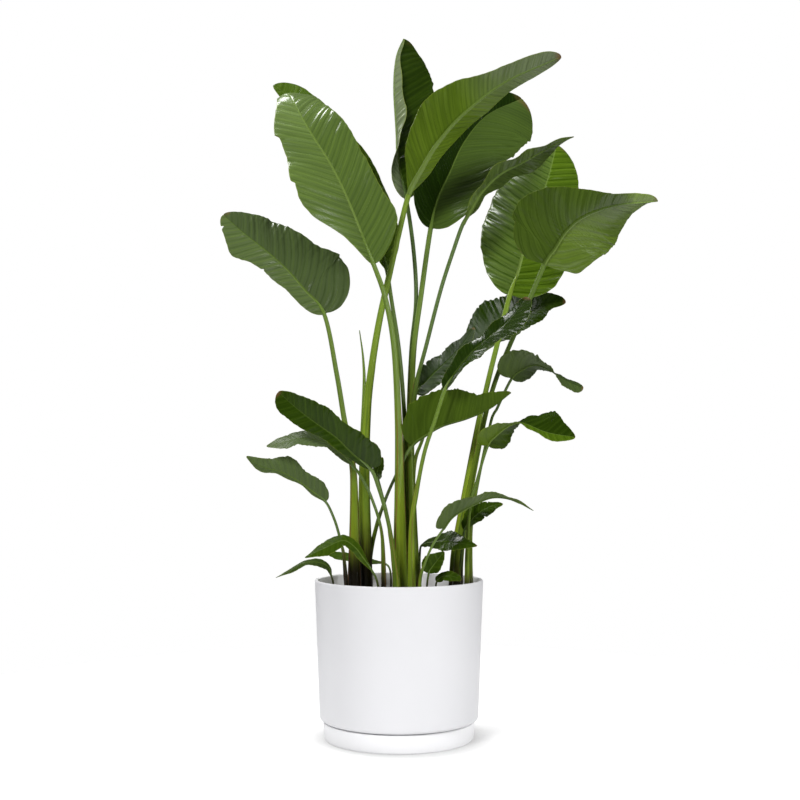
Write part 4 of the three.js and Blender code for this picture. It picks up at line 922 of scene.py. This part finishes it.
class Finish:
    """A material with one Principled shader, and short calls that add nodes to it."""

    def __init__(self, name, **numbers):
        self.material = bpy.data.materials.new(name)
        self.material.use_nodes = True
        self.tree = self.material.node_tree
        self.shader = self.tree.nodes["Principled BSDF"]
        for socket, number in numbers.items():
            self.shader.inputs[socket.replace("_", " ")].default_value = number

    def node(self, kind, inputs, output=0, **settings):
        made = self.tree.nodes.new("ShaderNode" + kind)
        for key, value in settings.items():
            setattr(made, key, value)
        for key, value in inputs.items():
            if isinstance(value, bpy.types.NodeSocket):
                self.tree.links.new(value, made.inputs[key])
            else:
                made.inputs[key].default_value = value
        return made.outputs[output]

    def value(self, name):
        return self.node("Attribute", {}, output="Fac", attribute_name=name)

    def values(self, *names):
        return [self.value(name) for name in names]

    def math(self, operation, first, second=0.0, third=0.0):
        return self.node("Math", {0: first, 1: second, 2: third}, operation=operation)

    def times(self, first, second):
        return self.math("MULTIPLY", first, second)

    def times_plus(self, first, second, third):
        return self.math("MULTIPLY_ADD", first, second, third)

    def blend(self, factor, first, second):
        """From the first colour at 0 to the second at 1."""
        colours = [(*c, 1) if isinstance(c, tuple) else c for c in (first, second)]
        inputs = {0: factor, 6: colours[0], 7: colours[1]}
        return self.node("Mix", inputs, output=2, data_type="RGBA", clamp_factor=True)

    def remap(self, value, low, high, start=0.0, end=1.0):
        inputs = {"Value": value, "From Min": low, "From Max": high, "To Min": start, "To Max": end}
        return self.node("MapRange", inputs, interpolation_type="SMOOTHSTEP")

    def noise(self, vector, scale, detail, roughness=0.5):
        inputs = {"Vector": vector, "Scale": scale, "Detail": detail, "Roughness": roughness}
        return self.node("TexNoise", inputs, output="Fac")

    def vector(self, x, y, z):
        return self.node("CombineXYZ", {"X": x, "Y": y, "Z": z})

    def place(self):
        return self.node("TexCoord", {}, output="Object")

    def lines(self, phase, spacing, sharpness):
        """1 on lines that lie a spacing apart along the phase, 0 between them."""
        turn = self.times(phase, 2 * math.pi / spacing)
        wave = self.times_plus(self.math("COSINE", turn), 0.5, 0.5)
        return self.math("POWER", wave, sharpness)

    def drive(self, socket, value):
        self.tree.links.new(value, self.shader.inputs[socket])

    def bump(self, height, distance):
        inputs = {"Height": height, "Distance": distance * MM, "Strength": 1.0}
        self.drive("Normal", self.node("Bump", inputs))


# Colours of a blade's two sides, each from the darkest tone to the lightest: plain,
# in the light streaks and in the shaded patches
UPPER_SIDE = (
    ((0.006, 0.018, 0.0008), (0.078, 0.148, 0.006)),
    ((0.012, 0.03, 0.0015), (0.12, 0.21, 0.012)),
    ((0.004, 0.012, 0.0004), (0.042, 0.09, 0.001)),
)
LOWER_SIDE = (
    ((0.02, 0.04, 0.003), (0.11, 0.185, 0.008)),
    ((0.035, 0.065, 0.006), (0.16, 0.25, 0.016)),
    ((0.012, 0.026, 0.002), (0.06, 0.11, 0.004)),
)


def blade_finish(name, shine, dullness, relief):
    """Glossy dark upper side, paler underside, light rib, soft side veins and a yellow margin, with a grey
    bloom that is partly painted sheen, and painted shade in the furrows between the veins.
    """
    finish = Finish(name, IOR=1.45, Specular_IOR_Level=shine)
    vein, out, edge, rib, length = finish.values("vein", "out", "edge", "rib", "length")
    under, tone, seed, bloom_and_sheen, pleat = finish.values("under", "tone", "seed", "bloom_and_sheen", "pleat")
    streak_place = finish.vector(vein, finish.times(out, 0.05), seed)
    streaks = finish.noise(streak_place, 0.2, 3.0, 0.6)
    threads = finish.noise(streak_place, 1.1, 2.0, 0.6)
    broad = finish.noise(finish.vector(vein, finish.times(out, 0.5), seed), 0.014, 2.0)
    # The tone is partly the leaf's age and partly painted shade on halves that lie in shadow
    lightness = finish.times_plus(tone, 0.5, 0.5)
    light_streaks = finish.remap(streaks, 0.35, 0.75)

    def side_colour(ends, most_shade):
        plain, streak, shade = (finish.blend(lightness, *pair) for pair in ends)
        shaded = finish.remap(broad, 0.4, 0.75, 0.0, most_shade)
        return finish.blend(shaded, finish.blend(light_streaks, plain, streak), shade), shade

    upper, upper_dark = side_colour(UPPER_SIDE, 0.6)
    lower, lower_dark = side_colour(LOWER_SIDE, 0.5)
    colour = finish.blend(under, upper, lower)
    # Grey bloom: partly the leaf's own waxy bloom and partly painted sheen where light glances off the blade
    bloom_and_sheen_colour = finish.blend(lightness, (0.05, 0.07, 0.03), (0.19, 0.23, 0.13))
    colour = finish.blend(finish.times(bloom_and_sheen, 0.6), colour, bloom_and_sheen_colour)
    main_veins = finish.lines(vein, VEIN_SPACING, 9.0)
    fine_veins = finish.lines(vein, VEIN_SPACING / 5, 2.0)
    veins = finish.math("MAXIMUM", main_veins, finish.times(fine_veins, 0.4))
    veins = finish.times(veins, finish.remap(threads, 0.3, 0.7, 0.3, 1.0))
    vein_colour = finish.blend(lightness, (0.03, 0.055, 0.006), (0.19, 0.3, 0.02))
    colour = finish.blend(finish.times(veins, 0.36), colour, vein_colour)
    # Painted shade: the furrows between side veins are darkened, as deep as the pleats, where shade falls in
    # the folds
    furrow_shade = finish.lines(finish.math("ADD", vein, 0.6 * VEIN_SPACING), VEIN_SPACING, 7.0)
    furrow_shade = finish.times(furrow_shade, finish.remap(threads, 0.3, 0.65, 0.2, 0.6))
    furrow_shade = finish.times(furrow_shade, pleat)
    furrow_shade_colour = finish.blend(under, upper_dark, lower_dark)
    colour = finish.blend(furrow_shade, colour, furrow_shade_colour)
    rib_side = finish.remap(rib, 0.85, 0.5)
    rib_colour = finish.blend(lightness, (0.035, 0.065, 0.006), (0.24, 0.34, 0.08))
    rib_end = finish.blend(lightness, (0.02, 0.04, 0.003), (0.17, 0.26, 0.05))
    rib_colour = finish.blend(finish.remap(length, 0.1, 0.9), rib_colour, rib_end)
    colour = finish.blend(finish.times(rib_side, 0.85), colour, rib_colour)
    margin = finish.remap(edge, 1.5, 0.3)
    margin_colour = finish.blend(lightness, (0.07, 0.1, 0.012), (0.25, 0.32, 0.03))
    colour = finish.blend(finish.times(margin, 0.6), colour, margin_colour)
    tip = finish.times(finish.remap(length, 0.96, 1.0), finish.remap(broad, 0.4, 0.6))
    colour = finish.blend(tip, colour, (0.13, 0.075, 0.028))
    dry = finish.times(finish.remap(edge, 2.5, 0.4), finish.remap(streaks, 0.6, 0.72))
    colour = finish.blend(dry, colour, (0.11, 0.065, 0.03))
    finish.drive("Base Color", colour)
    rough = finish.times_plus(streaks, 0.2, dullness)
    rough = finish.times_plus(under, 0.08, finish.times_plus(lightness, 0.1, rough))
    finish.drive("Roughness", rough)
    away_from_rib = finish.remap(rib, 1.2, 2.4)
    swell = finish.noise(streak_place, 0.2, 0.0)
    finish.bump(finish.times(swell, away_from_rib), relief)
    return finish.material


def stalk_finish():
    """Green stalk with a yellower sheath, a dark brown foot whose lowest part is painted near-black as shade
    among the stalks, fine length lines and dry papery margins.
    """
    finish = Finish("strelitzia_stalk", IOR=1.45, Specular_IOR_Level=0.45)
    length, height, turn, run = finish.values("length", "height", "turn", "run")
    lip, tone, foot_height = finish.values("lip", "tone", "foot")
    streak_place = finish.vector(finish.times(turn, 60.0), finish.times(run, 0.012), tone)
    streaks = finish.noise(streak_place, 1.0, 5.0, 0.6)
    band_place = finish.vector(finish.times(turn, 7.0), finish.times(run, 0.006), tone)
    bands = finish.noise(band_place, 1.0, 2.0)
    lightness = finish.times_plus(tone, 0.5, 0.5)
    green = finish.blend(lightness, (0.018, 0.04, 0.003), (0.17, 0.26, 0.03))
    yellow = finish.blend(lightness, (0.04, 0.07, 0.003), (0.24, 0.33, 0.02))
    dark = finish.blend(lightness, (0.012, 0.026, 0.002), (0.07, 0.13, 0.006))
    sheath = finish.remap(length, 0.75, 0.3)
    colour = finish.blend(finish.times(sheath, finish.remap(bands, 0.4, 0.65)), green, yellow)
    colour = finish.blend(finish.times(finish.remap(bands, 0.5, 0.3), 0.7), colour, dark)
    colour = finish.blend(finish.remap(streaks, 0.4, 0.75, 0.0, 0.4), colour, yellow)
    dull = finish.times(finish.remap(length, 0.4, 0.85), finish.times_plus(lightness, -0.5, 0.6))
    colour = finish.blend(dull, colour, (0.12, 0.19, 0.07))
    above_soil = finish.math("DIVIDE", height, foot_height)
    foot = finish.times(finish.remap(above_soil, 1.7, 0.6), finish.remap(streaks, 0.3, 0.65))
    colour = finish.blend(foot, colour, (0.05, 0.03, 0.008))
    # Painted shade: the lowest part of each stalk goes near-black, as in the shadow among the stalks at the
    # soil
    colour = finish.blend(finish.remap(above_soil, 1.3, 0.5), colour, (0.012, 0.009, 0.003))
    dry = finish.times(finish.remap(lip, 0.35, 0.8), finish.remap(bands, 0.4, 0.55, 0.4, 0.95))
    colour = finish.blend(dry, colour, (0.17, 0.075, 0.03))
    finish.drive("Base Color", colour)
    finish.drive("Roughness", finish.times_plus(streaks, 0.16, 0.2))
    finish.bump(streaks, 0.25)
    return finish.material


def pot_finish(name, colour):
    """Matte white moulded plastic with a very fine grain, its inside painted lighter to offset the shade in
    the pot.
    """
    finish = Finish(name, IOR=1.46)
    place = finish.place()
    cloud = finish.noise(place, 9.0, 3.0)
    grain = finish.noise(place, 900.0, 2.0)
    darker = tuple(0.955 * c for c in colour)
    clouded = finish.blend(finish.times(cloud, 0.9), colour, darker)
    # Painted light: the inside of the pot is made lighter to offset the shade that falls in it
    finish.drive("Base Color", finish.blend(finish.value("inside"), clouded, (0.95, 0.95, 0.96)))
    finish.drive("Roughness", finish.times_plus(cloud, 0.18, 0.42))
    finish.bump(grain, 0.06)
    return finish.material


def soil_finish():
    finish = Finish("potting_soil", IOR=1.4, Specular_IOR_Level=0.25)
    place = finish.place()
    crumb = finish.noise(place, 160.0, 6.0, 0.7)
    damp = finish.noise(place, 22.0, 3.0)
    grain = finish.value("grain")
    colour = finish.blend(finish.remap(crumb, 0.35, 0.7), (0.012, 0.008, 0.005), (0.07, 0.045, 0.028))
    colour = finish.blend(finish.times(damp, 0.5), colour, (0.02, 0.013, 0.008))
    colour = finish.blend(finish.remap(grain, 0.2, 0.4), colour, (0.12, 0.06, 0.03))
    colour = finish.blend(finish.remap(grain, 0.7, 0.9), colour, (0.62, 0.6, 0.55))
    finish.drive("Base Color", colour)
    finish.drive("Roughness", finish.times_plus(crumb, 0.2, 0.75))
    finish.bump(crumb, 1.2)
    return finish.material


def floor_finish():
    """White paper, glowing so it stays white in soft shadow, with a painted contact shadow that greys it
    where something stands on it.
    """
    finish = Finish("studio_floor", Roughness=0.9, Specular_IOR_Level=0.1)
    # Painted shadow: ambient occlusion greys and dims the floor where something stands close above it
    open_air = finish.node("AmbientOcclusion", {"Distance": 0.07}, output="AO", samples=8)
    open_air = finish.remap(open_air, 0.35, 0.95)
    finish.drive("Base Color", finish.blend(open_air, (0.3, 0.3, 0.3), (0.5, 0.5, 0.5)))
    finish.shader.inputs["Emission Color"].default_value = (1, 1, 1, 1)
    finish.drive("Emission Strength", finish.times_plus(open_air, 0.22, 0.38))
    return finish.material


# Camera, light and floor

LENS = 53.7
CAMERA_PLACE = (2, -2420, 538)
CAMERA_PITCH = 3.24     # degrees above the horizon
ROOM_LIGHT = 0.05       # strength of the white room around the part
FLOOR_RADIUS = 1.25     # metres

# Each light: its place and what it points at, its width and height, all in
# metres, its watts, and whether glossy surfaces mirror it
LIGHTS = {
    "key": ((-1.2, -2.45, 2.3), (0, 0, 0.75), (0.9, 0.9), 76, False),
    "fill": ((1.9, -2.0, 1.2), (0, 0, 0.4), (1.2, 1.2), 27, False),
    "overhead": ((0.1, 0.5, 3.0), (0, 0, 0.7), (1.2, 1.2), 16, False),
    "right": ((2.5, 0.3, 2.1), (0, 0, 0.8), (0.9, 0.9), 22, False),
    "gloss": ((-1.0, 0.2, 2.9), (0, 0, 0.7), (0.8, 0.8), 20, True),
    "shine": ((-0.8, 0.6, 3.0), (0, 0, 0.7), (0.6, 0.6), 18, True),
    "left": ((-2.0, 1.2, 2.3), (0, 0, 0.8), (0.9, 0.9), 18, True),
    "strip": ((1.6, -1.8, 1.0), (0, 0, 0.7), (0.14, 1.6), 9, True),
}


def add_camera():
    data = bpy.data.cameras.new("camera")
    data.lens = LENS
    data.sensor_width = 36
    camera = add_object("camera", data)
    camera.location = Vector(CAMERA_PLACE) * MM
    camera.rotation_euler = (math.radians(90 + CAMERA_PITCH), 0, 0)
    bpy.context.scene.camera = camera


def add_light(name, place, target, size, power, mirrored):
    data = bpy.data.lights.new(name, "AREA")
    data.shape = "RECTANGLE"
    data.size, data.size_y = size
    data.energy = power
    light = add_object(name, data)
    light.location = place
    light.visible_glossy = mirrored
    light.rotation_euler = (Vector(target) - Vector(place)).to_track_quat("-Z", "Y").to_euler()


def add_studio():
    world = bpy.data.worlds.new("studio")
    world.use_nodes = True
    tree = world.node_tree
    backdrop = tree.nodes["Background"]
    backdrop.inputs["Color"].default_value = (1, 1, 1, 1)
    seen = tree.nodes.new("ShaderNodeLightPath").outputs["Is Camera Ray"]
    strength = tree.nodes.new("ShaderNodeMapRange")
    strength.inputs["To Min"].default_value = ROOM_LIGHT
    strength.inputs["To Max"].default_value = 1.0
    tree.links.new(seen, strength.inputs["Value"])
    tree.links.new(strength.outputs["Result"], backdrop.inputs["Strength"])
    bpy.context.scene.world = world
    bpy.context.scene.view_settings.view_transform = "Standard"
    for name, light in LIGHTS.items():
        add_light(name, *light)
    mesh = bpy.data.meshes.new("floor")
    mesh.from_pydata(ring_points(FLOOR_RADIUS, 0), [], [range(ROUND_SEGMENTS)])
    mesh.materials.append(floor_finish())
    add_object("floor", mesh)


def add_plant():
    young_blade = blade_finish("strelitzia_blade", 0.45, 0.09, 0.4)
    old_blade = blade_finish("strelitzia_old_blade", 0.11, 0.24, 0.15)
    stalk_material = stalk_finish()
    for leaf in LEAVES:
        route = leaf["stalk"] + leaf["rib"]
        joint = len(leaf["stalk"]) - 1
        rib_line = Line(route, joint)
        blade_material = old_blade if leaf["name"] in OLD_LEAVES else young_blade
        stand_for(blade(leaf, rib_line), leaf["name"] + "_blade", blade_material)
        stalk_piece = stalk(leaf, Line(route, 0, joint), rib_line)
        stand_for(stalk_piece, leaf["name"] + "_stalk", stalk_material)
    stand_for(new_leaf(), "rolled_new_leaf", stalk_material)


def add_pot():
    # Pot and saucer are one white plastic; the saucer's white is set lighter as painted light, offsetting
    # the shade under the pot's overhanging wall
    stand_for(pot(), "pot", pot_finish("white_pot", (0.7, 0.7, 0.72)))
    stand_for(saucer(), "saucer", pot_finish("white_saucer", (0.84, 0.84, 0.855)))
    ground = soil()
    scatter_crumbs(ground)
    stand_for(ground, "soil", soil_finish())


add_camera()
add_studio()
add_pot()
add_plant()
